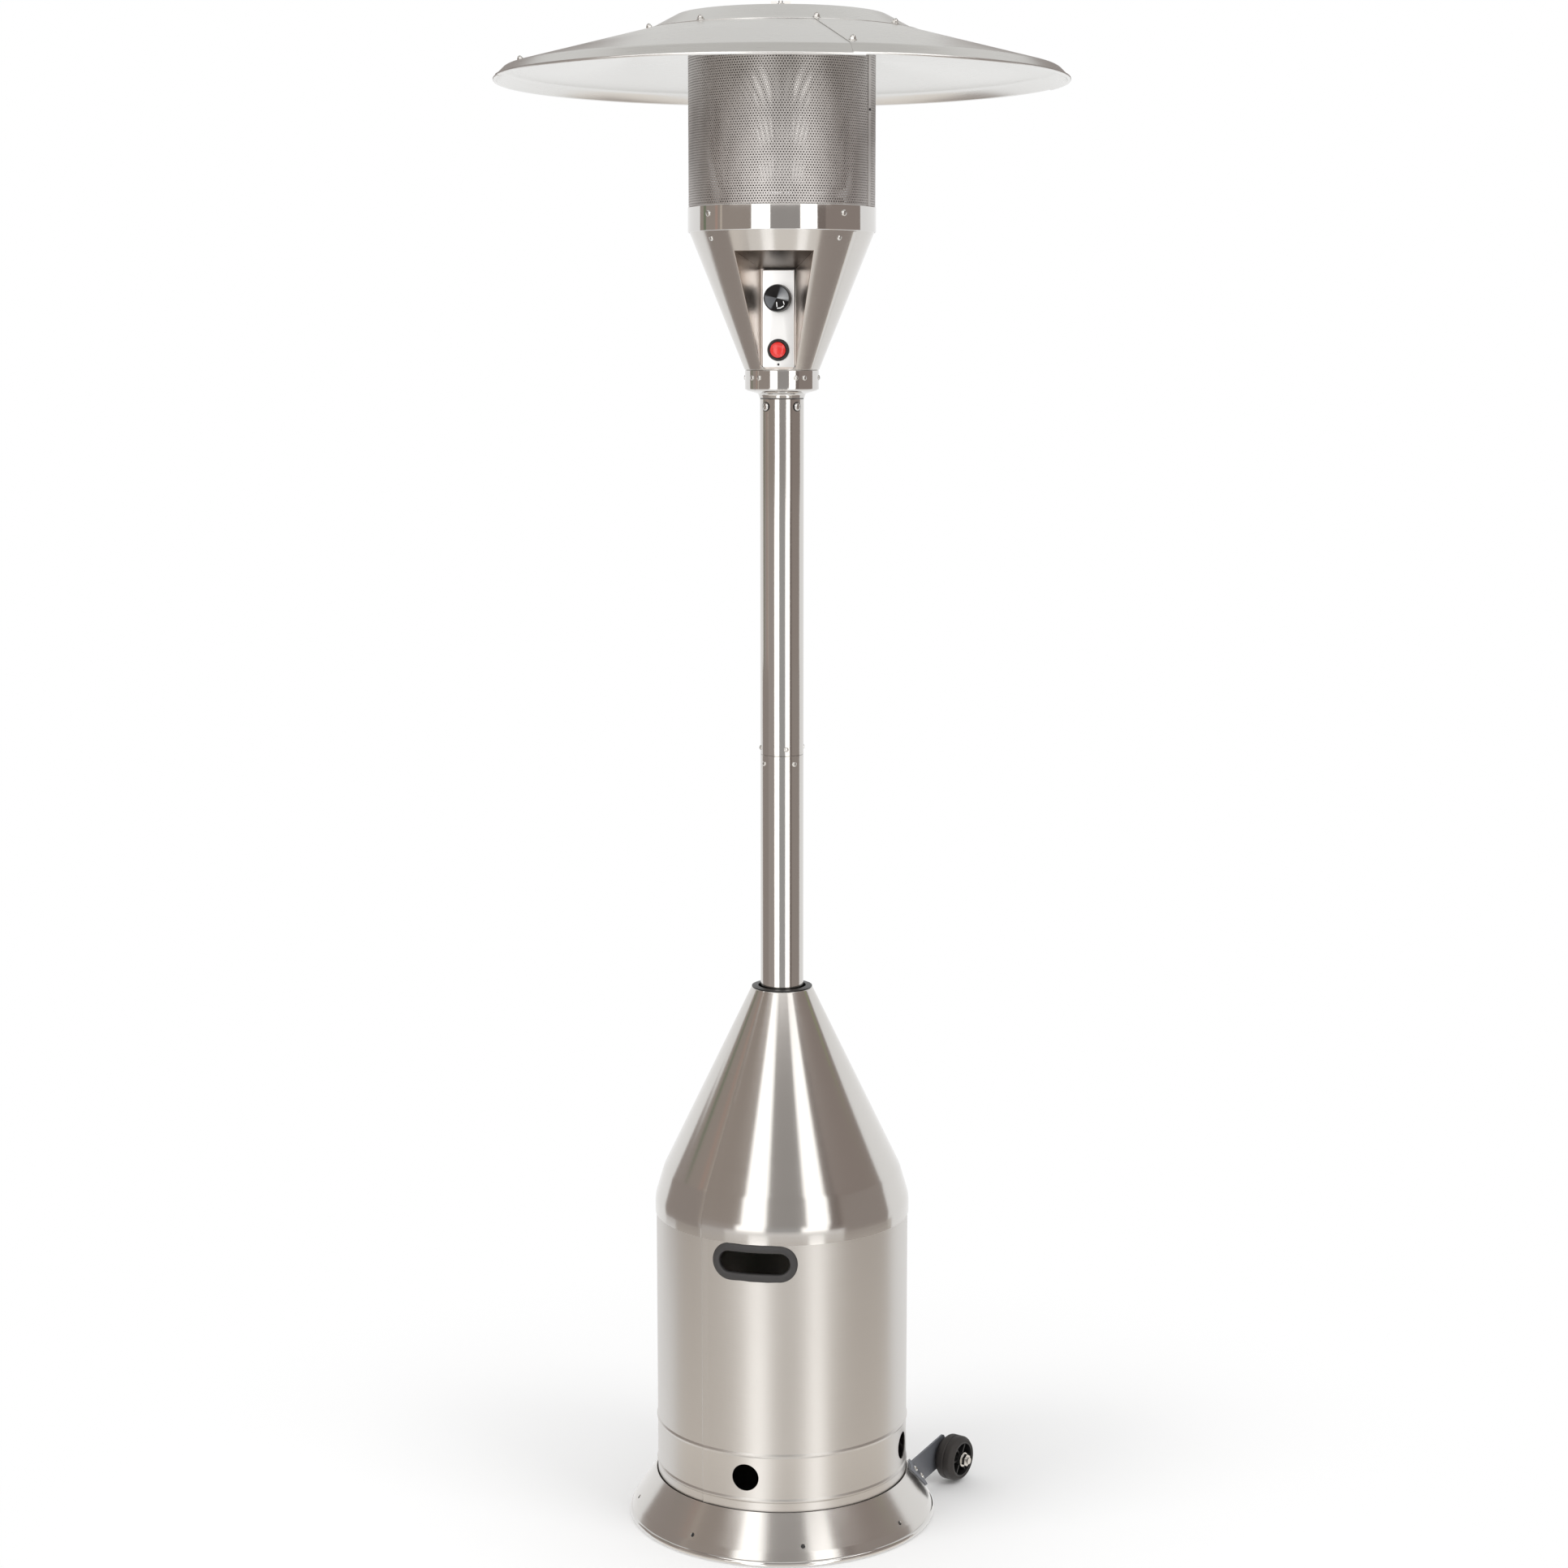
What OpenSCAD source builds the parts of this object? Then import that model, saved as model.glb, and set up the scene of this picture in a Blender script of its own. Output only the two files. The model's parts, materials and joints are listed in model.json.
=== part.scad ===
// Free-standing gas patio heater with a lift-up bottle housing.
// The post stands on the Z axis, the floor is z = 0 and the controls face -Y.
// Angles are counted from the front (-Y) towards +X.

/* [Sheet metal] */
// Thickness of the formed steel sheet
sheet = 1.2; // [0.8:0.1:1.6]
// Gap left between two sheets that nest in each other
lap_gap = 0.2; // [0.1:0.05:0.4]
// Gap left under a piece that rests on another body
rest_gap = 0.3; // [0.2:0.1:0.5]

/* [Base] */
// Radius of the base over its rolled rim
base_r = 230; // [220:1:250]
// Width of the lip between the flare and the rim
lip_w = 8; // [6:0.5:12]
// Height of the foot of the flare
lip_h = 20; // [16:1:24]
// Height of the top of the flare
flare_h = 67; // [60:1:74]
// Gap between the flare and the housing that stands in it
flare_gap = 1.3; // [0.8:0.1:2.5]
// Radius of the roll at the rim
rim_roll_r = 5; // [4:0.5:6]
// Height of the plate that the gas bottle stands on
plate_z = 41.5; // [36:0.5:46]
// Thickness of the bottle plate
plate_t = 2; // [1.5:0.1:3]
// Diameter of the anchor holes round the rim
anchor_d = 6.5; // [4:0.5:8]
// Height of the anchor holes
anchor_z = 27; // [25:0.5:32]
// Number of anchor holes
anchor_count = 8; // [4:1:12]
// Angle of the first anchor hole
anchor_phase = 14; // [0:1:44]

/* [Support struts] */
// Width of a strut
strut_w = 25; // [18:1:32]
// Thickness of a strut
strut_t = 3; // [2.5:0.5:5]
// Gap between a strut and the housing wall
strut_gap = 5; // [3:0.5:8]
// Length of the foot of a strut
strut_foot = 32; // [28:1:40]
// Length of the tab at the top of a strut
strut_tab = 60; // [50:1:70]
// Half angle of the wide gap that the bottle goes in through
bottle_gap_angle = 68; // [64:1:70]

/* [Housing cylinder] */
// Outer radius of the cylinder
can_r = 187.5; // [180:0.5:192]
// Height of the seam between cylinder and cone
can_top = 474; // [450:1:500]
// Height of the lower pressed bead
bead_low = 83; // [80:0.5:88]
// Height of the upper pressed bead
bead_high = 151; // [146:0.5:160]
// How far a bead stands out
bead_out = 1.6; // [0.8:0.1:2]
// Diameter of the air vents
vent_d = 40; // [25:1:48]
// Number of air vents
vent_count = 4; // [2:1:6]
// Angle of the first air vent
vent_phase = -10.6; // [-20:0.1:20]

/* [Hand slots] */
// Width of the opening inside the rubber trim
slot_w = 105; // [80:1:112]
// Height of the opening inside the rubber trim
slot_h = 31.5; // [24:0.5:34]
// Gap between the slot's trim and the skirt of the cone
slot_gap = 0.8; // [0.5:0.1:12]
// Angle of the front slot
slot_phase = -6.6; // [-20:0.1:20]
// Width of the rubber lip round the opening, outside
trim_lip = 12.5; // [9:0.5:13]
// Width of the rubber that lines the cut edge
trim_neck = 3.5; // [2.5:0.5:5]
// How far the trim stands out of the wall
trim_out = 3.5; // [2:0.5:5]

/* [Housing cone] */
// Height of the straight skirt over the seam
skirt_h = 16; // [12:1:22]
// Height of the rounded shoulder
shoulder_h = 44; // [36:1:52]
// How far the shoulder comes in
shoulder_in = 13; // [10:0.5:18]
// Radius of the top of the cone
cone_top_r = 44.5; // [44:0.5:52]
// Height of the top of the cone
cone_top = 804; // [770:1:815]
// Clear gap between the ring and the post
ring_gap = 3.5; // [3:0.1:5]
// Width of the ring on top of the cone
ring_w = 9.5; // [8:0.5:11]
// Thickness of the ring at its outer edge
ring_edge = 2; // [1.5:0.1:4]
// Height of the ring's inner edge above the cone
ring_h = 7; // [5:0.5:12]

/* [Post] */
// Diameter of the post
post_d = 63; // [60:0.5:66]
// Wall of the post
post_wall = 1.5; // [1.2:0.1:2]
// Drop from the top of the cone to the foot of the post
post_drop = 104; // [100:1:120]
// Height of the joint between the two tubes
post_joint = 1153; // [1000:1:1250]
// Height of the top of the post
post_top = 1668; // [1550:1:1750]
// Length of the sleeve inside the joint
sleeve_l = 100; // [80:1:140]
// Wall of the sleeve and of the neck
sleeve_wall = 2; // [1.5:0.1:3]

/* [Head] */
// Height of the spun neck
neck_h = 12; // [10:0.5:16]
// Length of the neck inside the post
spigot_l = 38; // [30:1:50]
// Radius of the collar
collar_r = 53; // [50:0.5:56]
// Height of the collar
collar_h = 28; // [24:1:34]
// Radius of the head cone at its foot
head_foot_r = 53.5; // [50.5:0.5:57]
// Radius of the head cone at its top
head_top_r = 131; // [125:0.5:135]
// Height of the head cone
head_h = 192; // [185:1:205]
// Height of the polished band
band_h = 36; // [32:1:48]

/* [Controls] */
// Distance of the control plate's face from the post axis
panel_y = 49; // [46:0.5:51]
// Width of the pocket that the control plate sits in
pocket_w = 50; // [48:0.5:54]
// Gap between the plate and the sides of its pocket
plate_gap = 2; // [1.2:0.1:3]
// How far the plate's face stands out of the pocket's floor
plate_stand = 4; // [3:0.5:6]
// Height of the control plate
panel_h = 138; // [132:1:142]
// Height of the plate's foot over the collar
panel_foot = 4; // [3:0.5:6]
// Angle at which the recess walls open out
recess_spread = 28; // [22:0.5:32]
// Rise of the recess roof towards the front, per millimetre
recess_rise = 0.29; // [0.1:0.01:0.4]
// Diameter of the control knob
knob_d = 39; // [30:0.5:41]
// Length of the control knob
knob_l = 18; // [14:0.5:22]
// Height of the knob over the plate's foot
knob_up = 96; // [90:0.5:104]
// How far the knob is pushed in to light the pilot
knob_push = 4; // [3:0.5:5]
// Diameter of the valve spindle
spindle_d = 8; // [6:0.5:9]
// Running clearance of a shaft in its hole
run_gap = 0.05; // [0.02:0.01:0.09]
// Diameter of the igniter's bezel
bezel_d = 31; // [30:0.5:33]
// Diameter of the igniter button
button_d = 22; // [18:0.5:22]
// Height of the igniter over the plate's foot
igniter_up = 24; // [20:0.5:30]
// Travel of the igniter button
button_travel = 5; // [3:0.5:6]

/* [Burner and emitter] */
// Radius of the emitter screen
emitter_r = 132.5; // [128:0.5:138]
// Wall of the emitter screen
emitter_wall = 1; // [0.8:0.1:1.5]
// Height of the screen over the polished band
emitter_h = 224; // [200:1:240]
// Holes round the screen in one row
hole_cols = 36; // [24:2:40]
// Rows of holes
hole_rows = 9; // [6:1:10]
// Diameter of a hole
hole_d = 12; // [8:0.5:13]
// Radius of the burner head
burner_r = 88; // [75:1:95]
// Radius of the mixing tube
tube_r = 18; // [15:0.5:20]

/* [Reflector] */
// Radius of the reflector
reflector_r = 406.5; // [380:0.5:430]
// Thickness of the reflector sheet
reflector_t = 1; // [0.8:0.1:1.5]
// Slope of the reflector, in degrees
reflector_tilt = 14.7; // [12:0.1:17]
// Height of the reflector's peak over the emitter
reflector_lift = 68; // [62:0.5:76]
// Width of the turned-down lip
reflector_lip = 14; // [10:0.5:20]
// Radius of the rolled edge
hem_r = 2.4; // [1.5:0.1:3.5]
// Radius of the hole that the cap closes
crown_r = 150; // [135:1:160]
// Radius of the cap's flange
cap_r = 197; // [188:1:205]
// Radius of the cap's flat top
cap_top_r = 148; // [120:1:155]
// Height of the cap's top over its flange
cap_h = 24; // [18:0.5:30]
// Angle of the first panel seam
seam_phase = 19; // [0:1:89]
// Distance of the seam bolts from the rim
seam_bolt_in = 34.5; // [30:0.5:60]
// Radius at which the standoffs sit
stud_pcr = 95; // [70:1:110]

/* [Wheels] */
// Diameter of a wheel
wheel_d = 69; // [58:1:74]
// Width of a wheel
wheel_w = 32; // [24:0.5:36]
// Height of the wheel's tread over the floor
wheel_clear = 3.5; // [3:0.5:12]
// Distance of the axle behind the post
wheel_back = 237; // [225:1:250]
// Distance between the two wheels' middles
wheel_track = 316; // [300:1:330]
// Direction of the wheels
wheel_phase = 150; // [140:1:170]
// Radius of the axle bolt
axle_r = 5; // [4:0.5:6]
// Thickness of the wheel bracket
bracket_t = 3; // [2:0.5:4]
// Height of the bracket's arm
bracket_h = 46; // [40:1:48]
// Rise of the bracket's arm towards the wheel, per millimetre
bracket_rise = 0.19; // [0.1:0.01:0.25]

/* [Hidden] */
$fn = 72;

// Finishes
steel = [0.72, 0.70, 0.67];
bright = [0.85, 0.85, 0.84];
alu = [0.86, 0.86, 0.85];
zinc = [0.60, 0.62, 0.66];
iron = [0.36, 0.36, 0.37];
brass = [0.72, 0.58, 0.30];
black = [0.10, 0.10, 0.10];
rubber = [0.15, 0.14, 0.14];
ceramic = [0.92, 0.90, 0.86];
red = [0.85, 0.12, 0.10];

// Base
flare_top_r = can_r + flare_gap + sheet;
lip_r = base_r - lip_w;
flare_k = (lip_r - flare_top_r) / (flare_h - lip_h);
flare_wall = sheet * sqrt(1 + flare_k * flare_k);
flare_lean = atan(flare_k);
rim_flat = 0.6;
roll_z = rim_roll_r - rim_flat;
plate_skirt = 14;
function flare_r(z) = flare_top_r + (flare_h - z) * flare_k;

// Housing
can_foot = plate_z + rest_gap;
bead_half = 5;
vent_z = (bead_low + bead_high) / 2;
skirt_r = can_r + sheet + lap_gap;
skirt_lap = 6;
lip_shy = 1;
trim_wide = slot_w + 2 * trim_lip;
trim_tall = slot_h + 2 * (trim_lip - lip_shy);
trim_back = 4;
slot_z = can_top - skirt_lap - slot_gap - trim_tall / 2;
shoulder_z = can_top + skirt_h;
cone_foot = shoulder_z + shoulder_h;
cone_foot_r = skirt_r - shoulder_in;
ring_in = post_d / 2 + ring_gap;
ring_out = ring_in + ring_w;
ring_neck = ring_in + ring_w / 3;
ring_foot = 5;
ring_crest = 2.5;
post_foot = cone_top - post_drop;
strut_out = can_r - sheet - strut_gap;
strut_bend = shoulder_z - 6;
strut_tab_end = 12;
strut_tab_top = post_foot + strut_tab + strut_tab_end;
strut_fold_r = 20;
bottle_side = slot_phase + 90;
strut_angles = [bottle_side - bottle_gap_angle, bottle_side + bottle_gap_angle, bottle_side + 180];

// Post
post_r = post_d / 2;
bore_r = post_r - post_wall;
sleeve_r = bore_r - lap_gap;
screw_up = 10;
screw_down = 12;
upper_screw_phase = 17;
lower_screw_phase = 40.5;
screw_r = 2;
screw_head_r = 3.6;
screw_head_h = 1.8;
screw_crown = 0.6;
hex_spread = 1.9;
hole_over = 3;
hole_l = 12;
strut_bolt_r = 3;
bolt_tail = 6;
bolt_head_h = 4;
strut_bolt_up = [22, 52];
neck_bolt_phase = 49;
neck_bolt_drop = 12;
neck_bolt_r = 3;
neck_bolt_h = 3;

// Head
neck_t = 1.5;
collar_foot = post_top + neck_h;
collar_top = collar_foot + collar_h;
cup_r = collar_r - sheet - lap_gap;
tail_r = cup_r - neck_t - lap_gap;
tail_l = 18;
collar_screw_z = collar_foot + collar_h * 0.6;
collar_screw_count = 6;
collar_screw_phase = 28;
collar_pin_count = 4;
collar_pin_phase = 43;
head_k = (head_top_r - head_foot_r) / head_h;
head_wall = sheet * sqrt(1 + head_k * head_k);
head_lean = atan(head_k);
head_top = collar_top + head_h;
head_tail = 13;
band_r = emitter_r + sheet + lap_gap;
band_top = head_top + band_h;
band_screw_z = head_top + band_h * 0.667;
band_screw_phase = 46;
cone_screw_z = head_top - 10;
cone_screw_phase = 45;
function head_r(z) = head_foot_r + (z - collar_top) * head_k;

// Controls
panel_t = sheet;
pocket_depth = plate_stand + sheet + lap_gap;
drain_up = 3;
drain_r = 1;
panel_z = collar_top + panel_foot;
panel_top = panel_z + panel_h;
recess_foot = collar_top + sheet + lap_gap;
recess_reach = 200;
knob_z = panel_z + knob_up;
igniter_z = panel_z + igniter_up;
knob_gap = 1;
press_gap = 0.02;
knob_back = panel_y + knob_push + knob_gap;
knob_skin = 1.5;
knob_rim = 2.2;
pointer_w = 2;
pointer_angle = 150;
pointer_out = 0.6;
knob_flutes = 24;
flute_r = 1;
flute_sunk = 0.6;
spindle_flat = 0.55;
spindle_r = spindle_d / 2;
spindle_hole = spindle_r + 2;
valve_front = 40;
valve_w = 34;
valve_depth = 48;
valve_half_h = 20;
nipple_r = 5;
nipple_bore = 3;
nipple_l = 24;
nipple_y = -4;
barb_count = 3;
barb_h = 4;
jet_boss_h = 6;
spindle_play = 2;
bonnet_r = 9;
spindle_tail = 22;
plunger_l = 12;
plunger_gap = 0.1;
bezel_out = 6;
button_out = 12;
button_tail = 4;
barrel_wall = 1.6;
barrel_r = button_d / 2 + run_gap + barrel_wall;
igniter_l = 55;
igniter_nut_t = 5;

// Burner
pan_z = head_top - 4;
pan_flange = 20;
tube_wall = 1.5;
tube_foot = knob_z + 38;
tube_top = head_top + 25;
burner_h = 24;
burner_t = 2;
port_count = 16;
port_d = 8;
jet_r = 6;
pilot_r = 100;
pilot_angle = 20;
pilot_step = 13;

// Emitter and reflector
emitter_foot = head_top + head_tail + lap_gap;
emitter_top = band_top + emitter_h;
hole_margin = 14;
lid_t = 1.5;
lid_rim = 14;
flame_cone_r = burner_r + 2;
flame_cone_z = tube_top + burner_h + 14;
peak_z = emitter_top + reflector_lift;
tilt_k = tan(reflector_tilt);
lip_start_r = reflector_r - reflector_lip;
seam_bolt_r = reflector_r - seam_bolt_in;
lip_drop = 14;
panel_lap = 2.4;
panel_tuck = 1.2;
panel_slit = 0.1;
strip_short = 10;
strip_drop = reflector_t / cos(reflector_tilt) + lap_gap;
cap_flange = 10;
cap_bolt_r = cap_r - cap_flange / 2 - 2;
cap_bolt_step = 49.6;
cap_t = reflector_t;
dome_r = 4;
cap_z = peak_z - cap_r * tilt_k + lap_gap;
cap_top = cap_z + cap_h;
stud_r = 3;
standoff_r = 5.5;
nut_h = 6;
nut_r = 7;
wing_w = 9;
wing_t = 2;
function reflector_z(r) = peak_z - r * tilt_k;

// Wheels
axle_z = wheel_clear + wheel_d / 2;
bracket_lat = wheel_track / 2 - wheel_w / 2 - 4;
hub_half = wheel_w / 2 - 1;
axle_run_r = axle_r + run_gap;
tyre_t = 7;
bracket_end_r = 12;
bracket_corner_r = 6;
bracket_foot_w = 26;
bracket_foot_h = 38;
bracket_bolt_r = 3;
bracket_bolt_z = [lip_h + 16, lip_h + 32];
axle_washer_t = 1.5;
axle_nut_h = 6;
bracket_bolt_l = (flare_r(bracket_bolt_z[1]) - can_r) / 2;

// Unit vector, its left-hand normal and a turned copy
function unit(v) = v / norm(v);
function left(v) = [-v[1], v[0]];
function turned(v, a) = [v[0] * cos(a) - v[1] * sin(a), v[0] * sin(a) + v[1] * cos(a)];
function flat(p) = [p[0], p[1]];

// One corner of a path, rounded to the radius in its third number
function corner(p, i) =
    let (a = unit(flat(p[i]) - flat(p[i - 1])),
         b = unit(flat(p[i + 1]) - flat(p[i])),
         w = atan2(a[0] * b[1] - a[1] * b[0], a * b),
         r = p[i][2],
         n = max(2, ceil(abs(w) / 15)),
         start = flat(p[i]) - a * r * tan(abs(w) / 2),
         centre = start + left(a) * sign(w) * r)
    [for (k = [0 : n]) centre + turned(start - centre, w * k / n)];

// A path of [x, y, radius] points with its corners rounded
function soft(p) =
    [for (i = [0 : len(p) - 1])
        each (i == 0 || i == len(p) - 1 || p[i][2] == 0) ? [flat(p[i])] : corner(p, i)];

// Outline of a sheet of thickness t to the left of a path
function mitre(p, i) =
    let (a = unit(p[max(i, 1)] - p[max(i, 1) - 1]),
         b = unit(p[min(i + 1, len(p) - 1)] - p[min(i + 1, len(p) - 1) - 1]),
         m = unit(left(a) + left(b)))
    m / (m * left(a));
function sheet_outline(p, t) =
    concat(p, [for (i = [len(p) - 1 : -1 : 0]) p[i] + t * mitre(p, i)]);

module spun(path, t) rotate_extrude() polygon(sheet_outline(soft(path), t));

module pipe(r, wall, foot, top) {
    translate([0, 0, foot]) difference() {
        cylinder(r = r, h = top - foot);
        translate([0, 0, -1]) cylinder(r = r - wall, h = top - foot + 2);
    }
}

// Places a child at an angle and height, with its own z axis pointing out from the post
module outward(angle, z) rotate([0, 0, angle]) translate([0, 0, z]) rotate([90, 0, 0]) children();

module ring_of(count, phase, z) for (i = [0 : count - 1]) outward(phase + i * 360 / count, z) children();

// A cylinder along +Y from y0 to y1 at height z
module along_y(z, y0, y1, r) translate([0, y0, z]) rotate([-90, 0, 0]) cylinder(r = r, h = y1 - y0);

// A stadium-shaped window of the given overall size
module stadium(w, h) {
    square([w - h, h], center = true);
    for (s = [-1, 1]) translate([s * (w - h) / 2, 0]) circle(d = h);
}

// A screw along z: head on top of the face at r_face, shank down to r_tip
module screw(r_face, r_tip, shank_r, head_r, head_h) {
    translate([0, 0, r_tip]) cylinder(r = shank_r, h = r_face - r_tip + head_h / 2);
    translate([0, 0, r_face]) {
        cylinder(r = head_r, h = head_h / 2);
        translate([0, 0, head_h / 2]) cylinder(r1 = head_r, r2 = head_r * screw_crown, h = head_h / 2);
    }
}

module hex_bolt(r_face, r_tip, shank_r, head_h) {
    translate([0, 0, r_tip]) cylinder(r = shank_r, h = r_face - r_tip + head_h / 2);
    translate([0, 0, r_face]) cylinder(r = shank_r * hex_spread, h = head_h, $fn = 6);
}

// Base

module base_skirt() {
    color(steel) difference() {
        union() {
            spun([[flare_top_r, flare_h, 0], [lip_r, lip_h, 10],
                  [base_r - rim_roll_r, roll_z, 0]], -sheet);
            rotate_extrude() translate([base_r - rim_roll_r, roll_z]) circle(r = rim_roll_r);
        }
        translate([0, 0, -rim_roll_r]) cylinder(r = base_r + 1, h = rim_roll_r);
        ring_of(anchor_count, anchor_phase, anchor_z) translate([0, 0, flare_r(anchor_z)])
            rotate([-flare_lean, 0, 0]) cylinder(d = anchor_d, h = 4 * rim_roll_r, center = true);
        wheel_frame() for (side = [-1, 1]) bracket_bolt_holes(side, bracket_bolt_r + lap_gap);
    }
}

module base_plate() {
    edge = flare_r(plate_z) - flare_wall - lap_gap;
    color(zinc) difference() {
        spun([[0, plate_z, 0], [edge, plate_z, 0],
              [edge + plate_skirt * flare_k, plate_z - plate_skirt, 0]], -plate_t);
        wheel_frame() for (side = [-1, 1]) bracket_bolt_holes(side, bracket_bolt_r + lap_gap);
        strut_foot_bolts(strut_bolt_r + lap_gap);
    }
}

module at_struts() for (a = strut_angles) rotate([0, 0, a]) children();

module strut_foot_bolts(r) {
    at_struts() for (s = [-1, 1])
        translate([s * strut_w / 4, -(strut_out - strut_foot / 2), plate_z - plate_t - bolt_tail])
            cylinder(r = r, h = plate_t + strut_t + bolt_tail);
}

module strut_tab_bolts(r) {
    at_struts() for (up = strut_bolt_up)
        outward(0, post_foot + up) translate([0, 0, bore_r - bolt_tail])
            cylinder(r = r, h = post_wall + strut_t + 2 * bolt_tail);
}

module support_strut(i) {
    tab_r = post_r + lap_gap + strut_t;
    path = [[strut_out - strut_foot, plate_z, 0], [strut_out, plate_z, strut_t + 1],
            [strut_out, strut_bend, strut_fold_r],
            [tab_r, post_foot + strut_tab_end / 2, strut_fold_r], [tab_r, strut_tab_top, 0]];
    color(zinc) difference() {
        rotate([0, 0, strut_angles[i] - 90]) rotate([90, 0, 0])
            translate([0, 0, -strut_w / 2]) linear_extrude(strut_w)
                polygon(sheet_outline(soft(path), strut_t));
        strut_foot_bolts(strut_bolt_r + lap_gap);
        strut_tab_bolts(strut_bolt_r + lap_gap);
    }
}

module strut_bolts() {
    tab_face = post_r + lap_gap + strut_t;
    color(bright) {
        at_struts() for (up = strut_bolt_up) outward(0, post_foot + up)
            hex_bolt(tab_face, bore_r - bolt_tail * 0.7, strut_bolt_r, bolt_head_h);
        at_struts() for (s = [-1, 1])
            translate([s * strut_w / 4, -(strut_out - strut_foot / 2), 0])
                hex_bolt(plate_z + strut_t, plate_z - plate_t - bolt_tail, strut_bolt_r, bolt_head_h);
    }
}

// Post

module upper_joint_holes(r) ring_of(4, upper_screw_phase, post_joint + screw_up)
    translate([0, 0, sleeve_r - sleeve_wall - hole_over]) cylinder(r = r, h = hole_l);

module lower_joint_holes(r) ring_of(4, lower_screw_phase, post_joint - screw_down)
    translate([0, 0, sleeve_r - sleeve_wall - hole_over]) cylinder(r = r, h = hole_l);

module neck_bolt_holes(r) ring_of(4, neck_bolt_phase, post_top - neck_bolt_drop)
    translate([0, 0, sleeve_r - sleeve_wall - hole_over]) cylinder(r = r, h = hole_l);

module lower_post() {
    color(steel) difference() {
        pipe(post_r, post_wall, post_foot, post_joint - lap_gap / 2);
        strut_tab_bolts(strut_bolt_r + lap_gap);
        lower_joint_holes(screw_r + lap_gap);
    }
}

module upper_post() {
    color(steel) difference() {
        pipe(post_r, post_wall, post_joint + lap_gap / 2, post_top);
        upper_joint_holes(screw_r + lap_gap);
        neck_bolt_holes(neck_bolt_r + lap_gap);
    }
}

module post_sleeve() {
    color(zinc) difference() {
        pipe(sleeve_r, sleeve_wall, post_joint - sleeve_l / 2, post_joint + sleeve_l / 2);
        upper_joint_holes(screw_r + lap_gap);
        lower_joint_holes(screw_r + lap_gap);
    }
}

module post_screws() {
    tip = sleeve_r - sleeve_wall - 1;
    color(bright) {
        ring_of(4, upper_screw_phase, post_joint + screw_up)
            screw(post_r, tip, screw_r, screw_head_r, screw_head_h);
        ring_of(4, lower_screw_phase, post_joint - screw_down)
            screw(post_r, tip, screw_r, screw_head_r, screw_head_h);
    }
}

// Head shell

module neck_flange() {
    ledge = post_r + 1;
    color(bright) difference() {
        spun([[sleeve_r, post_top - spigot_l, 0], [sleeve_r, post_top, 0], [ledge, post_top, 0],
              [ledge + 1, post_top + neck_h * 0.45, 5], [cup_r, collar_foot - 1, 4],
              [cup_r, collar_top - 2, 0]], neck_t);
        neck_bolt_holes(neck_bolt_r + lap_gap);
        collar_screw_holes(screw_r + lap_gap);
    }
}

module neck_bolts() {
    color(bright) ring_of(4, neck_bolt_phase, post_top - neck_bolt_drop)
        screw(post_r, sleeve_r - neck_t - 1, neck_bolt_r, neck_bolt_r * hex_spread, neck_bolt_h);
}

// Places a child at the collar's screws: a ring of six, and four more beside them
module at_collar_screws() {
    ring_of(collar_screw_count, collar_screw_phase, collar_screw_z) children();
    ring_of(collar_pin_count, collar_pin_phase, collar_screw_z) children();
}

module collar_screw_holes(r) at_collar_screws()
    translate([0, 0, tail_r - sheet - hole_over]) cylinder(r = r, h = hole_l);

module head_collar() {
    color(bright) difference() {
        pipe(collar_r, sheet, collar_foot, collar_top - lap_gap);
        collar_screw_holes(screw_r + lap_gap);
    }
}

module collar_screws() {
    color(bright) at_collar_screws()
        screw(collar_r, tail_r - sheet - 1, screw_r, screw_head_r - 0.4, screw_head_h);
}

// Wedge that the control recess takes out of the head cone, with its walls moved out by grow
module recess_space(grow) {
    spread = tan(recess_spread);
    back = -panel_y + plate_stand + grow;
    wall = grow / cos(recess_spread);
    half_back = pocket_w / 2 + wall;
    half_front = pocket_w / 2 + (recess_reach - panel_y) * spread + wall;
    roof_back = panel_top + grow;
    roof_front = roof_back + (recess_reach - panel_y) * recess_rise;
    intersection() {
        translate([0, 0, recess_foot]) linear_extrude(roof_front - recess_foot) polygon([
            [-half_back, back], [half_back, back], [half_back, -panel_y], [half_front, -recess_reach],
            [-half_front, -recess_reach], [-half_back, -panel_y]]);
        rotate([90, 0, 90]) translate([0, 0, -half_front]) linear_extrude(2 * half_front) polygon([
            [back, recess_foot], [back, roof_back], [-panel_y, roof_back], [-recess_reach, roof_front],
            [-recess_reach, recess_foot]]);
    }
}

// Solid that fills the head cone up to a gap from its inner face
module head_core(gap) {
    inset = (sheet + gap) * sqrt(1 + head_k * head_k);
    translate([0, 0, collar_top]) cylinder(r1 = head_foot_r - inset, r2 = head_top_r - inset, h = head_h);
}

module cone_screw_holes(r) ring_of(4, cone_screw_phase, cone_screw_z)
    translate([0, 0, head_r(cone_screw_z)]) rotate([head_lean, 0, 0]) cylinder(r = r, h = 16, center = true);

module head_cone() {
    color(steel) difference() {
        spun([[tail_r, collar_top - tail_l, 0], [tail_r, collar_top, 0], [head_foot_r, collar_top, 0],
              [head_top_r, head_top, 0], [emitter_r, head_top + 3, 0],
              [emitter_r, head_top + head_tail, 0]], sheet);
        recess_space(0);
        collar_screw_holes(screw_r + lap_gap);
        cone_screw_holes(screw_r + lap_gap);
    }
}

module cone_screws() {
    color(bright) ring_of(4, cone_screw_phase, cone_screw_z)
        translate([0, 0, head_r(cone_screw_z)]) rotate([head_lean, 0, 0])
            screw(0, -6, screw_r, screw_head_r, screw_head_h);
}

module head_band() {
    color(bright) difference() {
        pipe(band_r, sheet, head_top, band_top);
        band_screw_holes(screw_r + lap_gap);
    }
}

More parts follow.
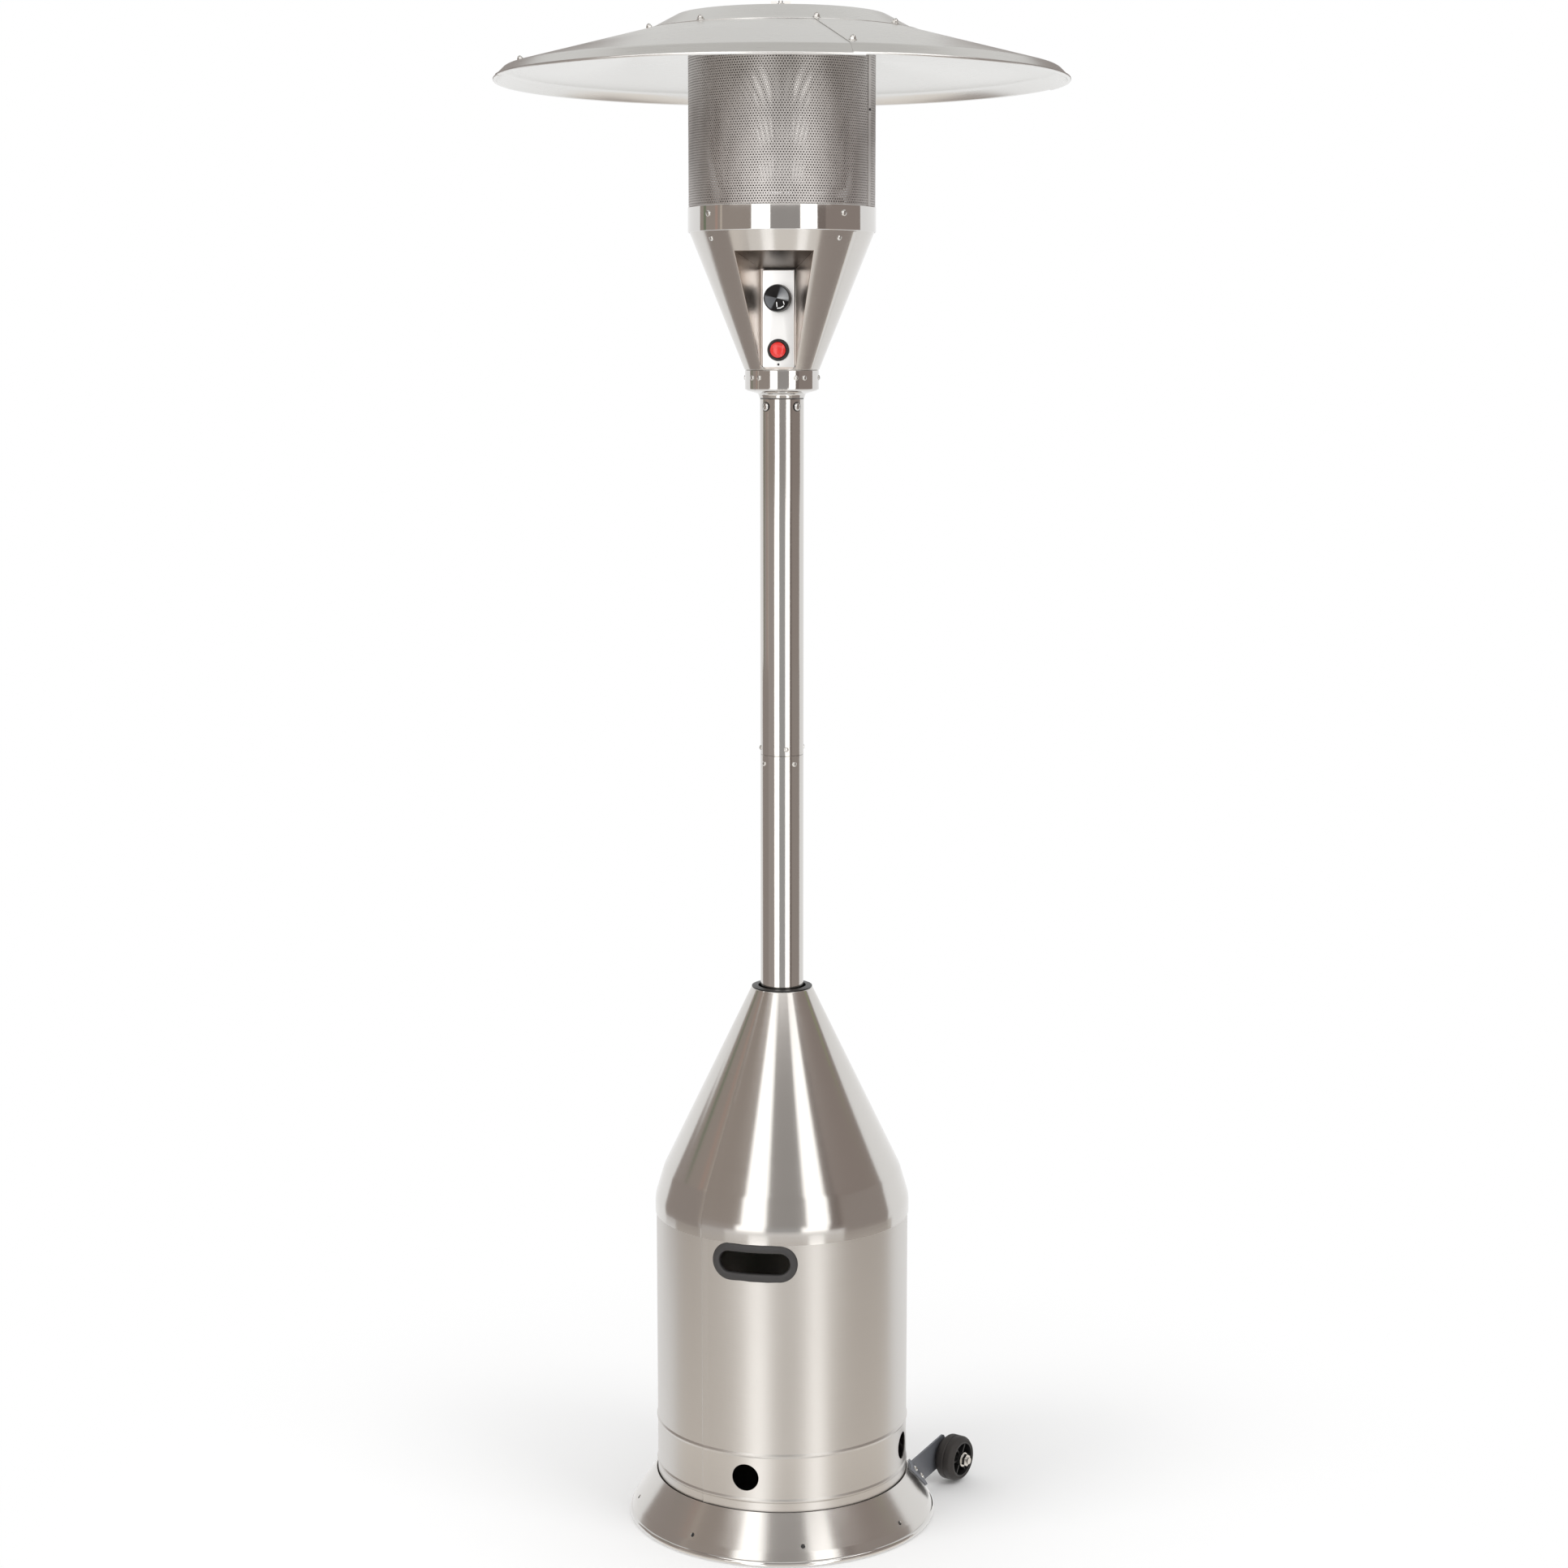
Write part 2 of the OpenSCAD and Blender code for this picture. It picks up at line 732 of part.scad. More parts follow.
module band_screw_holes(r) ring_of(4, band_screw_phase, band_screw_z)
    translate([0, 0, emitter_r - emitter_wall - 4]) cylinder(r = r, h = 16);

module band_screws() {
    color(bright) ring_of(4, band_screw_phase, band_screw_z)
        screw(band_r, emitter_r - emitter_wall - 2, screw_r, screw_head_r + 0.6, screw_head_h);
}

// Controls

module control_recess() {
    color(steel) difference() {
        intersection() {
            recess_space(sheet);
            head_core(lap_gap);
        }
        recess_space(0);
        panel_hole(knob_z, spindle_hole);
        panel_hole(igniter_z, barrel_r + lap_gap);
    }
}

module panel_hole(z, r) along_y(z, -panel_y - 1, -panel_y + plate_stand + 2 * sheet, r);

// Folded tray: its face, two sides and top stand on the floor of the pocket
module control_plate() {
    half = pocket_w / 2 - plate_gap;
    back = -panel_y + plate_stand - lap_gap;
    tall = panel_h - plate_gap;
    color(bright) difference() {
        translate([0, 0, panel_z]) {
            linear_extrude(tall) polygon(sheet_outline(soft([
                [-half, back, 0], [-half, -panel_y, panel_t + 0.6], [half, -panel_y, panel_t + 0.6],
                [half, back, 0]]), panel_t));
            translate([-half + panel_t / 2, -panel_y + panel_t / 2, tall - panel_t])
                cube([2 * half - panel_t, back + panel_y - panel_t / 2, panel_t]);
        }
        panel_hole(knob_z, spindle_hole);
        panel_hole(igniter_z, barrel_r + lap_gap);
        panel_hole(panel_z + drain_up, drain_r);
    }
}

module gas_valve() {
    bonnet_front = -panel_y + pocket_depth;
    spindle_end = -spindle_tail + knob_push + plunger_l + spindle_play;
    nipple_foot = knob_z - valve_half_h - nipple_l;
    color(brass) difference() {
        union() {
            translate([-valve_w / 2, -valve_front, knob_z - valve_half_h])
                cube([valve_w, valve_depth, 2 * valve_half_h]);
            along_y(knob_z, bonnet_front, -valve_front + 1, bonnet_r);
            translate([0, 0, knob_z + valve_half_h]) cylinder(r = jet_r + 3, h = jet_boss_h);
            translate([0, nipple_y, nipple_foot]) {
                cylinder(r = nipple_r, h = nipple_l + 1);
                for (b = [0 : barb_count - 1]) translate([0, 0, b * barb_h * 1.5])
                    cylinder(r1 = nipple_r, r2 = nipple_r * 1.3, h = barb_h);
            }
        }
        along_y(knob_z, bonnet_front - 1, spindle_end, spindle_r + run_gap);
        translate([0, nipple_y, nipple_foot - 1]) cylinder(r = nipple_bore, h = nipple_l + barb_h);
    }
}

module valve_spindle() {
    front = knob_back + knob_l - knob_skin - 2;
    color(zinc) difference() {
        along_y(knob_z, -front, -spindle_tail, spindle_r);
        translate([-spindle_r, -front - 1, knob_z + spindle_r * spindle_flat])
            cube([2 * spindle_r, front - knob_back + 1, spindle_r]);
    }
}

module valve_plunger() {
    color(brass) {
        along_y(knob_z, -spindle_tail + plunger_gap, -spindle_tail + plunger_gap + 2, spindle_r - 0.2);
        along_y(knob_z, -spindle_tail + plunger_gap + 1, -spindle_tail + plunger_l, spindle_r - 1.5);
    }
}

module control_knob() {
    front = knob_back + knob_l;
    color(black) difference() {
        translate([0, -knob_back, knob_z]) rotate([90, 0, 0]) rotate_extrude() polygon(soft([
            [0, 0, 0], [knob_d / 2, 0, 0.8], [knob_d / 2, knob_l * 0.25, 0.5],
            [knob_d / 2 - 1, knob_l, 0.8], [0, knob_l, 0]]));
        along_y(knob_z, -front - 1, -front + knob_skin, knob_d / 2 - knob_rim);
        difference() {
            along_y(knob_z, -front + knob_skin + 2, -knob_back + 1, spindle_r + press_gap);
            translate([-knob_d / 2, -front, knob_z + spindle_r * spindle_flat + press_gap])
                cube([knob_d, knob_l, knob_d]);
        }
        for (i = [0 : knob_flutes - 1])
            translate([0, -knob_back - knob_l * 0.3, knob_z]) rotate([90, i * 360 / knob_flutes, 0])
                translate([knob_d / 2 + flute_r - flute_sunk, 0, 0])
                    cylinder(r = flute_r, h = knob_l * 0.45);
    }
}

// Spun metal disc with a raised pointer, set into the knob
module knob_face() {
    seat = knob_back + knob_l - knob_skin;
    disc_r = knob_d / 2 - knob_rim - lap_gap;
    color(bright) {
        along_y(knob_z, -seat - knob_skin + 0.3, -seat, disc_r);
        translate([0, 0, knob_z]) rotate([0, pointer_angle, 0])
            translate([-pointer_w / 2, -seat - knob_skin - pointer_out, disc_r * 0.35])
                cube([pointer_w, knob_skin, disc_r * 0.55]);
    }
}

module igniter_body() {
    color(black) difference() {
        union() {
            translate([0, -panel_y, igniter_z]) rotate([90, 0, 0]) rotate_extrude() polygon(soft([
                [0, 0, 0], [bezel_d / 2, 0, 0], [bezel_d / 2, bezel_out, 2.5],
                [barrel_r, bezel_out, 0], [0, bezel_out, 0]]));
            along_y(igniter_z, -panel_y - 1, -panel_y + igniter_l * 0.6, barrel_r);
            along_y(igniter_z, -panel_y + igniter_l * 0.6 - 1, -panel_y + igniter_l, barrel_r * 0.6);
        }
        along_y(igniter_z, -panel_y - bezel_out - 1, -panel_y + button_tail + button_travel + 2,
            button_d / 2 + run_gap);
    }
}

module igniter_nut() {
    seat = -panel_y + pocket_depth;
    color(zinc) difference() {
        translate([0, seat, igniter_z]) rotate([-90, 0, 0])
            cylinder(r = barrel_r * 1.25, h = igniter_nut_t, $fn = 6);
        along_y(igniter_z, seat - 1, seat + igniter_nut_t + 1, barrel_r + lap_gap / 2);
    }
}

module igniter_button() {
    button_r = button_d / 2;
    color(red) translate([0, -panel_y + button_tail, igniter_z]) rotate([90, 0, 0])
        rotate_extrude() polygon(soft([
        [0, 0, 0], [button_r, 0, 0], [button_r, button_tail + button_out - 3, 1.5],
        [button_r * 0.7, button_tail + button_out - 1, 6], [0, button_tail + button_out, 0]]));
}

// Burner

module burner_pan() {
    edge = head_r(pan_z) - head_wall - lap_gap;
    color(steel) difference() {
        spun([[tube_r + lap_gap, pan_z, 0], [edge, pan_z, 0],
              [edge - pan_flange * head_k, pan_z - pan_flange, 0]], -sheet);
        cone_screw_holes(screw_r + lap_gap);
    }
}

module gas_jet() {
    foot = knob_z + valve_half_h + jet_boss_h;
    color(brass) difference() {
        union() {
            translate([0, 0, foot]) cylinder(r = jet_r + 2, h = 6, $fn = 6);
            translate([0, 0, foot + 5]) cylinder(r1 = jet_r, r2 = jet_r * 0.5, h = tube_foot - foot);
        }
        translate([0, 0, foot - 1]) cylinder(r = 1, h = tube_foot - foot + 12);
    }
}

module burner_tube() {
    color(iron) difference() {
        union() {
            pipe(tube_r, tube_wall, tube_foot, tube_top);
            translate([0, 0, pan_z + lap_gap]) difference() {
                cylinder(r = tube_r + 10, h = 2);
                translate([0, 0, -1]) cylinder(r = tube_r - tube_wall, h = 4);
            }
            translate([0, 0, tube_foot]) difference() {
                cylinder(r = tube_r, h = 2);
                translate([0, 0, -1]) cylinder(r = jet_r + lap_gap, h = 4);
            }
        }
        for (a = [0, 90]) rotate([0, 0, a]) translate([0, 0, tube_foot + 14]) rotate([90, 0, 0])
            linear_extrude(3 * tube_r, center = true) stadium(20, 10);
    }
}

module burner_head() {
    top = tube_top + burner_h;
    color(iron) difference() {
        spun([[tube_r + lap_gap + burner_t, tube_top - 8, 0], [tube_r + lap_gap + burner_t, tube_top, 4],
              [burner_r, tube_top + burner_h * 0.5, 6], [burner_r, top, 3],
              [burner_r * 0.3, top + 6, 10], [0, top + 6, 0]], burner_t);
        for (ring = [0.62, 0.84]) for (i = [0 : port_count - 1])
            rotate([0, 0, i * 360 / port_count]) translate([burner_r * ring, 0, top - 6])
                cylinder(d = port_d, h = 20);
    }
}

module on_pan(angle, r) rotate([0, 0, angle]) translate([0, -r, pan_z + lap_gap]) children();

module pilot_burner() {
    stem_r = 4;
    stem_h = 50;
    hood_h = 8;
    air_z = 38;
    color(steel) on_pan(pilot_angle, pilot_r) difference() {
        union() {
            cylinder(r = 2 * stem_r, h = 2);
            cylinder(r = stem_r, h = stem_h);
            translate([0, 0, stem_h]) cylinder(r1 = stem_r, r2 = stem_r * 1.5, h = hood_h);
        }
        translate([0, 0, air_z - hood_h]) cylinder(r = 2.5, h = stem_h);
        translate([0, 0, air_z]) rotate([90, 0, 0]) cylinder(r = 1.5, h = 4 * stem_r, center = true);
    }
}

module thermocouple() {
    probe_r = 2.5;
    probe_h = 58;
    color(steel) on_pan(pilot_angle + pilot_step, pilot_r) {
        cylinder(r = probe_r * 2.4, h = 8, $fn = 6);
        cylinder(r = probe_r, h = probe_h);
        translate([0, 0, probe_h]) sphere(r = probe_r);
    }
}

module spark_electrode() {
    sleeve_half = 3.5;
    sleeve_tall = 36;
    wire_tall = 60;
    color(ceramic) on_pan(pilot_angle - pilot_step, pilot_r) {
        cylinder(r = sleeve_half + 2.5, h = 3);
        cylinder(r = sleeve_half, h = sleeve_tall);
        translate([0, 0, sleeve_tall]) cylinder(r1 = sleeve_half, r2 = 2, h = 5);
        cylinder(r = 1, h = wire_tall);
    }
}

module tilt_switch() {
    drop = 22;
    case_r = 13;
    back = 70;
    tab = [8, 10, 9];
    color(black) translate([0, back, pan_z - sheet - 1 - lap_gap - drop]) {
        cylinder(r = case_r, h = drop);
        translate([0, 0, drop - 1]) cylinder(r = case_r + 4, h = 2);
        translate([-tab[0] / 2, -tab[1] / 2, 1 - tab[2]]) cube(tab);
    }
}

// Emitter

module emitter_screen() {
    clear_h = emitter_top - hole_margin - band_top - hole_margin;
    step = clear_h / (hole_rows - 1);
    color(iron) difference() {
        pipe(emitter_r, emitter_wall, emitter_foot, emitter_top);
        band_screw_holes(screw_r + lap_gap);
        for (row = [0 : hole_rows - 1])
            ring_of(hole_cols, (row % 2) * 180 / hole_cols, band_top + hole_margin + row * step)
                translate([0, 0, emitter_r - 10]) cylinder(d = hole_d, h = 20, $fn = 24);
    }
}

// Lid with a turned-down rim, and the cone below it that spreads the flame
module emitter_lid() {
    rim_r = emitter_r - emitter_wall - lap_gap;
    color(steel) difference() {
        union() {
            spun([[0, emitter_top, 0], [rim_r, emitter_top, 0], [rim_r, emitter_top - lid_rim, 0]], -lid_t);
            spun([[flame_cone_r, flame_cone_z, 0], [rim_r - lid_t - 1, emitter_top - lid_t / 2, 0]], sheet);
        }
        at_studs() translate([0, 0, emitter_top - 10]) cylinder(r = stud_r + lap_gap, h = 20);
    }
}

// Reflector

module at_studs() for (i = [0 : 2]) rotate([0, 0, i * 120 + 5]) translate([0, -stud_pcr, 0]) children();

module reflector_studs() {
    color(bright) at_studs() {
        translate([0, 0, emitter_top + lap_gap])
            cylinder(r = standoff_r, h = cap_top - cap_t - emitter_top - 2 * lap_gap, $fn = 6);
        translate([0, 0, emitter_top - 8]) cylinder(r = stud_r, h = cap_top + nut_h + 4 - emitter_top + 8);
    }
}

module reflector_nuts() {
    color(bright) at_studs() translate([0, 0, cap_top + lap_gap]) difference() {
        union() {
            cylinder(r1 = nut_r, r2 = nut_r - 1.5, h = nut_h);
            for (s = [0, 180]) rotate([0, 0, s]) translate([nut_r - 2.5, -wing_t / 2, 1])
                cube([wing_w, wing_t, nut_h + 2]);
        }
        translate([0, 0, -1]) cylinder(r = stud_r + lap_gap / 2, h = nut_h + 4);
    }
}

// Profile of a reflector panel, top side, lowered by drop
function panel_path(drop) = [
    [crown_r, reflector_z(crown_r) - drop, 0],
    [lip_start_r, reflector_z(lip_start_r) - drop, 14],
    [reflector_r - hem_r, reflector_z(lip_start_r) - lip_drop - drop, 0]];

module panel_sector(path, t, from, sweep) {
    rotate([0, 0, from - 90]) rotate_extrude(angle = sweep) polygon(sheet_outline(soft(path), -t));
}

// A panel's sheet together with its wire-rolled edge
module panel_leaf(from, sweep) {
    rotate([0, 0, from - 90]) rotate_extrude(angle = sweep) {
        polygon(sheet_outline(soft(panel_path(0)), -reflector_t));
        translate([reflector_r - hem_r, reflector_z(lip_start_r) - lip_drop]) circle(r = hem_r, $fn = 24);
    }
}

// A quarter of the reflector, with the strip that its neighbour laps over tucked under one edge
module reflector_panel(i) {
    from = seam_phase + i * 90;
    color(alu) difference() {
        union() {
            panel_leaf(from + panel_slit, 90 - 2 * panel_slit);
            intersection() {
                union() {
                    panel_sector(panel_path(strip_drop / 2), strip_drop + reflector_t - strip_drop / 2,
                        from + 90 - panel_tuck, panel_tuck - panel_slit);
                    panel_sector(panel_path(strip_drop), reflector_t,
                        from + 90 - panel_tuck, panel_tuck + panel_lap);
                }
                cylinder(r = lip_start_r - strip_short, h = 2 * peak_z);
            }
        }
        cap_bolt_holes(screw_r + lap_gap);
        seam_bolt_holes(screw_r + lap_gap);
    }
}

// Turns a child to the middle of each lap strip
module at_seams() for (i = [0 : 3]) rotate([0, 0, seam_phase + panel_lap / 2 + i * 90]) children();

// Places a child at each bolt of the cap: one over each seam and one between
module at_cap_bolts() for (a = [0, -cap_bolt_step])
    rotate([0, 0, a]) at_seams() translate([0, -cap_bolt_r, 0]) children();

module cap_bolt_holes(r) at_cap_bolts()
    translate([0, 0, reflector_z(cap_bolt_r) - 12]) cylinder(r = r, h = 24);

module seam_bolt_holes(r) at_seams() translate([0, -seam_bolt_r, reflector_z(seam_bolt_r) - 12])
    cylinder(r = r, h = 24);

module reflector_cap() {
    color(alu) difference() {
        spun([[cap_r, cap_z, 0], [cap_r - cap_flange, cap_z + cap_flange * tilt_k, 4],
              [cap_top_r, cap_top - cap_t, 6], [0, cap_top - cap_t, 0]], -cap_t);
        cap_bolt_holes(screw_r + lap_gap);
        at_studs() translate([0, 0, cap_top - 10]) cylinder(r = stud_r + lap_gap, h = 20);
    }
}

// Bolt with a domed nut on top, through sheets that lie at height z
module dome_bolt(z, grip) {
    head_z = z - grip - 3;
    translate([0, 0, head_z]) cylinder(r = screw_r * hex_spread, h = 2, $fn = 6);
    translate([0, 0, head_z]) cylinder(r = screw_r, h = grip + 5);
    translate([0, 0, z + 1]) cylinder(r = dome_r, h = 3, $fn = 6);
    translate([0, 0, z + 3]) cylinder(r1 = dome_r * 0.85, r2 = dome_r * 0.4, h = dome_r);
}

module cap_bolts() {
    color(bright) at_cap_bolts()
        dome_bolt(reflector_z(cap_bolt_r) + lap_gap + cap_t, cap_t + 2 * reflector_t + 1);
}

module seam_bolts() {
    color(bright) at_seams() translate([0, -seam_bolt_r, 0])
        dome_bolt(reflector_z(seam_bolt_r), 2 * reflector_t + 1);
}

// Housing

module housing_can() {
    cut_w = slot_w + 2 * trim_neck;
    cut_h = slot_h + 2 * trim_neck;
    color(steel) difference() {
        spun([[can_r, can_foot, 0],
              [can_r, bead_low - bead_half, 1], [can_r + bead_out, bead_low, 4],
              [can_r, bead_low + bead_half, 1],
              [can_r, bead_high - bead_half, 1], [can_r + bead_out, bead_high, 4],
              [can_r, bead_high + bead_half, 1],
              [can_r, can_top, 0]], sheet);
        ring_of(vent_count, vent_phase, vent_z) cylinder(d = vent_d, h = can_r + 20);
        ring_of(2, slot_phase, slot_z) linear_extrude(can_r + 20) stadium(cut_w, cut_h);
    }
}

module housing_cone() {
    color(steel) spun([[skirt_r, can_top - skirt_lap, 0], [skirt_r, shoulder_z, 60],
                       [cone_foot_r, cone_foot, 40], [cone_top_r, cone_top, 3],
                       [ring_neck + lap_gap, cone_top, 0]], sheet);
}

module post_ring() {
    ring_under = cone_top - sheet - lap_gap;
    color(black) rotate_extrude() polygon(soft([
        [ring_in, ring_under - ring_foot, 0], [ring_neck + 2, ring_under - ring_foot, 0],
        [ring_neck + 2, ring_under, 0], [ring_neck, ring_under, 0],
        [ring_neck, cone_top + lap_gap, 0], [ring_out, cone_top + lap_gap, 0],
        [ring_out, cone_top + ring_edge, 0.8], [ring_in + ring_crest, cone_top + ring_h, 2],
        [ring_in, cone_top + ring_h, 0.8], [ring_in, cone_top, 0]]));
}

// Rubber edging of a hand slot: a lip outside, a lip inside and the neck between them
module hand_trim(angle) {
    neck_wide = slot_w + 2 * trim_neck - 2 * lap_gap;
    neck_tall = slot_h + 2 * trim_neck - 2 * lap_gap;
    color(rubber) difference() {
        union() {
            intersection() {
                pipe(can_r + trim_out, trim_out - lap_gap, slot_z - trim_tall, slot_z + trim_tall);
                outward(angle, slot_z) linear_extrude(2 * can_r) stadium(trim_wide, trim_tall);
            }
            intersection() {
                pipe(can_r - sheet - lap_gap, trim_out, slot_z - trim_tall, slot_z + trim_tall);
                outward(angle, slot_z) linear_extrude(2 * can_r)
                    stadium(trim_wide - 2 * trim_back, trim_tall - 2 * trim_back);
            }
            intersection() {
                pipe(can_r + trim_out / 2, trim_out + sheet, slot_z - trim_tall, slot_z + trim_tall);
                outward(angle, slot_z) linear_extrude(2 * can_r) stadium(neck_wide, neck_tall);
            }
        }
        outward(angle, slot_z) linear_extrude(2 * can_r) stadium(slot_w, slot_h);
    }
}

// Wheels

// Frame behind the base: x is the axle direction, y points away from the post
module wheel_frame() rotate([0, 0, wheel_phase]) rotate([0, 0, 180]) children();

module flare_body(gap) {
    reach = gap * sqrt(1 + flare_k * flare_k);
    translate([0, 0, lip_h]) cylinder(r1 = lip_r + reach, r2 = flare_top_r + reach, h = flare_h - lip_h);
    cylinder(r = base_r + gap, h = lip_h);
}

// The arm from the side: it rises from the base to the wheel and is rounded round the axle
module bracket_arm() translate([wheel_back, axle_z]) rotate(atan(bracket_rise)) hull() {
    circle(r = bracket_end_r);
    translate([0, bracket_h - bracket_end_r - bracket_corner_r]) circle(r = bracket_corner_r);
    translate([-wheel_back / 2, -bracket_end_r]) square([1, bracket_h]);
}

module wheel_bracket(side) {
    foot_mid = bracket_lat + bracket_foot_w / 2 - bracket_t / 2;
    color(zinc) wheel_frame() difference() {
        union() {
            difference() {
                translate([side * bracket_lat, 0, 0]) rotate([90, 0, 90]) translate([0, 0, -bracket_t / 2])
                    linear_extrude(bracket_t) bracket_arm();
                flare_body(lap_gap);
            }
            intersection() {
                difference() {
                    flare_body(lap_gap + bracket_t);
                    flare_body(lap_gap);
                }
                translate([side * foot_mid - bracket_foot_w / 2, 0, lip_h + 2])
                    cube([bracket_foot_w, base_r, bracket_foot_h]);
            }
        }
        translate([side * bracket_lat, wheel_back, axle_z]) rotate([0, 90, 0])
            cylinder(r = axle_r + lap_gap, h = 4 * bracket_t, center = true);
        bracket_bolt_holes(side, bracket_bolt_r + lap_gap);
    }
}

// Places a child on the flare under a bracket's foot, with its z axis square to the flare
module on_bracket_foot(side) {
    lat = bracket_lat + bracket_foot_w * 0.65;
    for (z = bracket_bolt_z) rotate([0, 0, -side * asin(lat / flare_r(z))])
        translate([0, flare_r(z), z]) rotate([-90 + flare_lean, 0, 0]) children();
}

module bracket_bolt_holes(side, r) on_bracket_foot(side) cylinder(r = r, h = 24, center = true);

module bracket_bolts() {
    color(bright) wheel_frame() for (side = [-1, 1])
        on_bracket_foot(side)
            screw(bracket_t + lap_gap, -bracket_bolt_l, bracket_bolt_r, screw_head_r + 1, neck_bolt_h);
}

module axle_bolts() {
    inner = bracket_lat - bracket_t / 2;
    outer = wheel_track / 2 + hub_half + 1;
    spacer = wheel_track / 2 - hub_half - inner - bracket_t - lap_gap - rest_gap;
    color(bright) wheel_frame() for (side = [-1, 1])
        translate([0, wheel_back, axle_z]) rotate([0, side * 90, 0]) {
        translate([0, 0, inner - 4]) cylinder(r = axle_r * 1.8, h = 4 - lap_gap, $fn = 6);
        translate([0, 0, inner - 1])
            cylinder(r = axle_r, h = outer + axle_washer_t + axle_nut_h - inner + 5);
        translate([0, 0, outer]) cylinder(r = axle_r * 2.2, h = axle_washer_t);
        translate([0, 0, outer]) cylinder(r = axle_r * 1.9, h = axle_washer_t + axle_nut_h, $fn = 6);
        translate([0, 0, inner + bracket_t + lap_gap])
            cylinder(r = axle_r * 1.5, h = spacer);
    }
}

module wheel_at(side) wheel_frame()
    translate([side * wheel_track / 2, wheel_back, axle_z]) rotate([0, side * 90, 0]) children();

module tyre(side) {
    r = wheel_d / 2;
    half = wheel_w / 2;
    bed = r - tyre_t;
    color(rubber) wheel_at(side) rotate_extrude() polygon(soft([
        [bed, -half, 0], [r - 3, -half, 1], [r, -half * 0.55, 6],
        [r, half * 0.55, 6], [r - 3, half, 1], [bed, half, 0]]));
}

module hub(side) {
    bed = wheel_d / 2 - tyre_t - run_gap;
    rim = 3;
    boss = axle_r + 4.5;
    spokes = 6;
    spoke_t = 3;
    color(black) wheel_at(side) difference() {
        union() {
            translate([0, 0, -wheel_w / 2]) difference() {
                cylinder(r = bed, h = wheel_w);
                translate([0, 0, -1]) cylinder(r = bed - rim, h = wheel_w + 2);
            }
            translate([0, 0, -hub_half]) cylinder(r = boss, h = 2 * hub_half);
            translate([0, 0, -spoke_t / 2]) cylinder(r = bed - 1, h = spoke_t);
            for (i = [0 : spokes - 1]) rotate([0, 0, i * 360 / spokes])
                translate([boss - 1, -spoke_t / 2, -hub_half + 2])
                    cube([bed - boss - 1, spoke_t, 2 * hub_half - 4]);
        }
        cylinder(r = axle_run_r, h = 2 * wheel_w, center = true);
    }
}

base_skirt();
base_plate();
support_strut(0);  // support_strut_1
support_strut(1);  // support_strut_2
support_strut(2);  // support_strut_3
strut_bolts();
lower_post();
upper_post();
post_sleeve();
post_screws();
neck_flange();
neck_bolts();
head_collar();
collar_screws();
head_cone();
cone_screws();
control_recess();
control_plate();
gas_valve();
valve_spindle();
valve_plunger();
control_knob();
knob_face();
igniter_body();
igniter_nut();
igniter_button();
burner_pan();
gas_jet();
burner_tube();
burner_head();
pilot_burner();
thermocouple();
spark_electrode();
tilt_switch();
head_band();
band_screws();
emitter_screen();
emitter_lid();
reflector_studs();
reflector_nuts();
reflector_panel(0);  // reflector_panel_1
reflector_panel(1);  // reflector_panel_2
reflector_panel(2);  // reflector_panel_3
reflector_panel(3);  // reflector_panel_4
reflector_cap();
cap_bolts();
seam_bolts();
housing_can();
housing_cone();
post_ring();
hand_trim(slot_phase);  // hand_trim_front
hand_trim(slot_phase + 180);  // hand_trim_rear
wheel_bracket(-1);  // wheel_bracket_left
wheel_bracket(1);  // wheel_bracket_right
bracket_bolts();
axle_bolts();
tyre(-1);  // tyre_left
tyre(1);  // tyre_right
hub(-1);  // hub_left
hub(1);  // hub_right
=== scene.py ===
# %% [markdown]
# A free-standing gas patio heater: a flared base, a housing that lifts to reach the gas bottle, a slim
# post, a conical head with its controls, a perforated emitter and a wide reflector.
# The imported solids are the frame. They give every size and place, and the bodies that the pieces ride on.

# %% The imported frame
import json
import math

import bmesh
import bpy
import numpy as np
from mathutils import Matrix, Vector


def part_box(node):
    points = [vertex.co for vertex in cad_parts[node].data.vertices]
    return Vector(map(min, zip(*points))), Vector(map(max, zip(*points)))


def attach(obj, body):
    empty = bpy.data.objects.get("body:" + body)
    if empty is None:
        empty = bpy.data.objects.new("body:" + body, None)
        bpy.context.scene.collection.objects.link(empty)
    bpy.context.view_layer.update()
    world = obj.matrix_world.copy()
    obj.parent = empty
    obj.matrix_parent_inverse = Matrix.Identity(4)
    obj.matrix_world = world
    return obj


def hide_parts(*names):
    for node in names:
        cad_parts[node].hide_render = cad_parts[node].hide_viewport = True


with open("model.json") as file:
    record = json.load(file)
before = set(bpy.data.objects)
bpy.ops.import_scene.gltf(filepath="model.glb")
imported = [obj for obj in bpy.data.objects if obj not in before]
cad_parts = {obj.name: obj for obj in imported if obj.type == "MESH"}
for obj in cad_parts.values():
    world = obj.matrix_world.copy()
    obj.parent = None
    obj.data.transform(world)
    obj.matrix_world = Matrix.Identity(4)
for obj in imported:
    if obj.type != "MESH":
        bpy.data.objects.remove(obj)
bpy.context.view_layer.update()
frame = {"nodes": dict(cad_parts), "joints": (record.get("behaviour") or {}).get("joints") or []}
MM = 0.001

# %% [markdown]
# The photograph looks slightly down on the heater from about four metres away. A lens, a distance, a
# height and a few angles describe that view: they come from the ellipses of the rims.

# %% Camera
LENS = 66.447
VIEW_DISTANCE = 4187 * MM
VIEW_HEIGHT = 1732 * MM
VIEW_ANGLE = math.radians(6.0)
VIEW_PITCH = math.radians(8.474)
VIEW_YAW = math.radians(0.040)

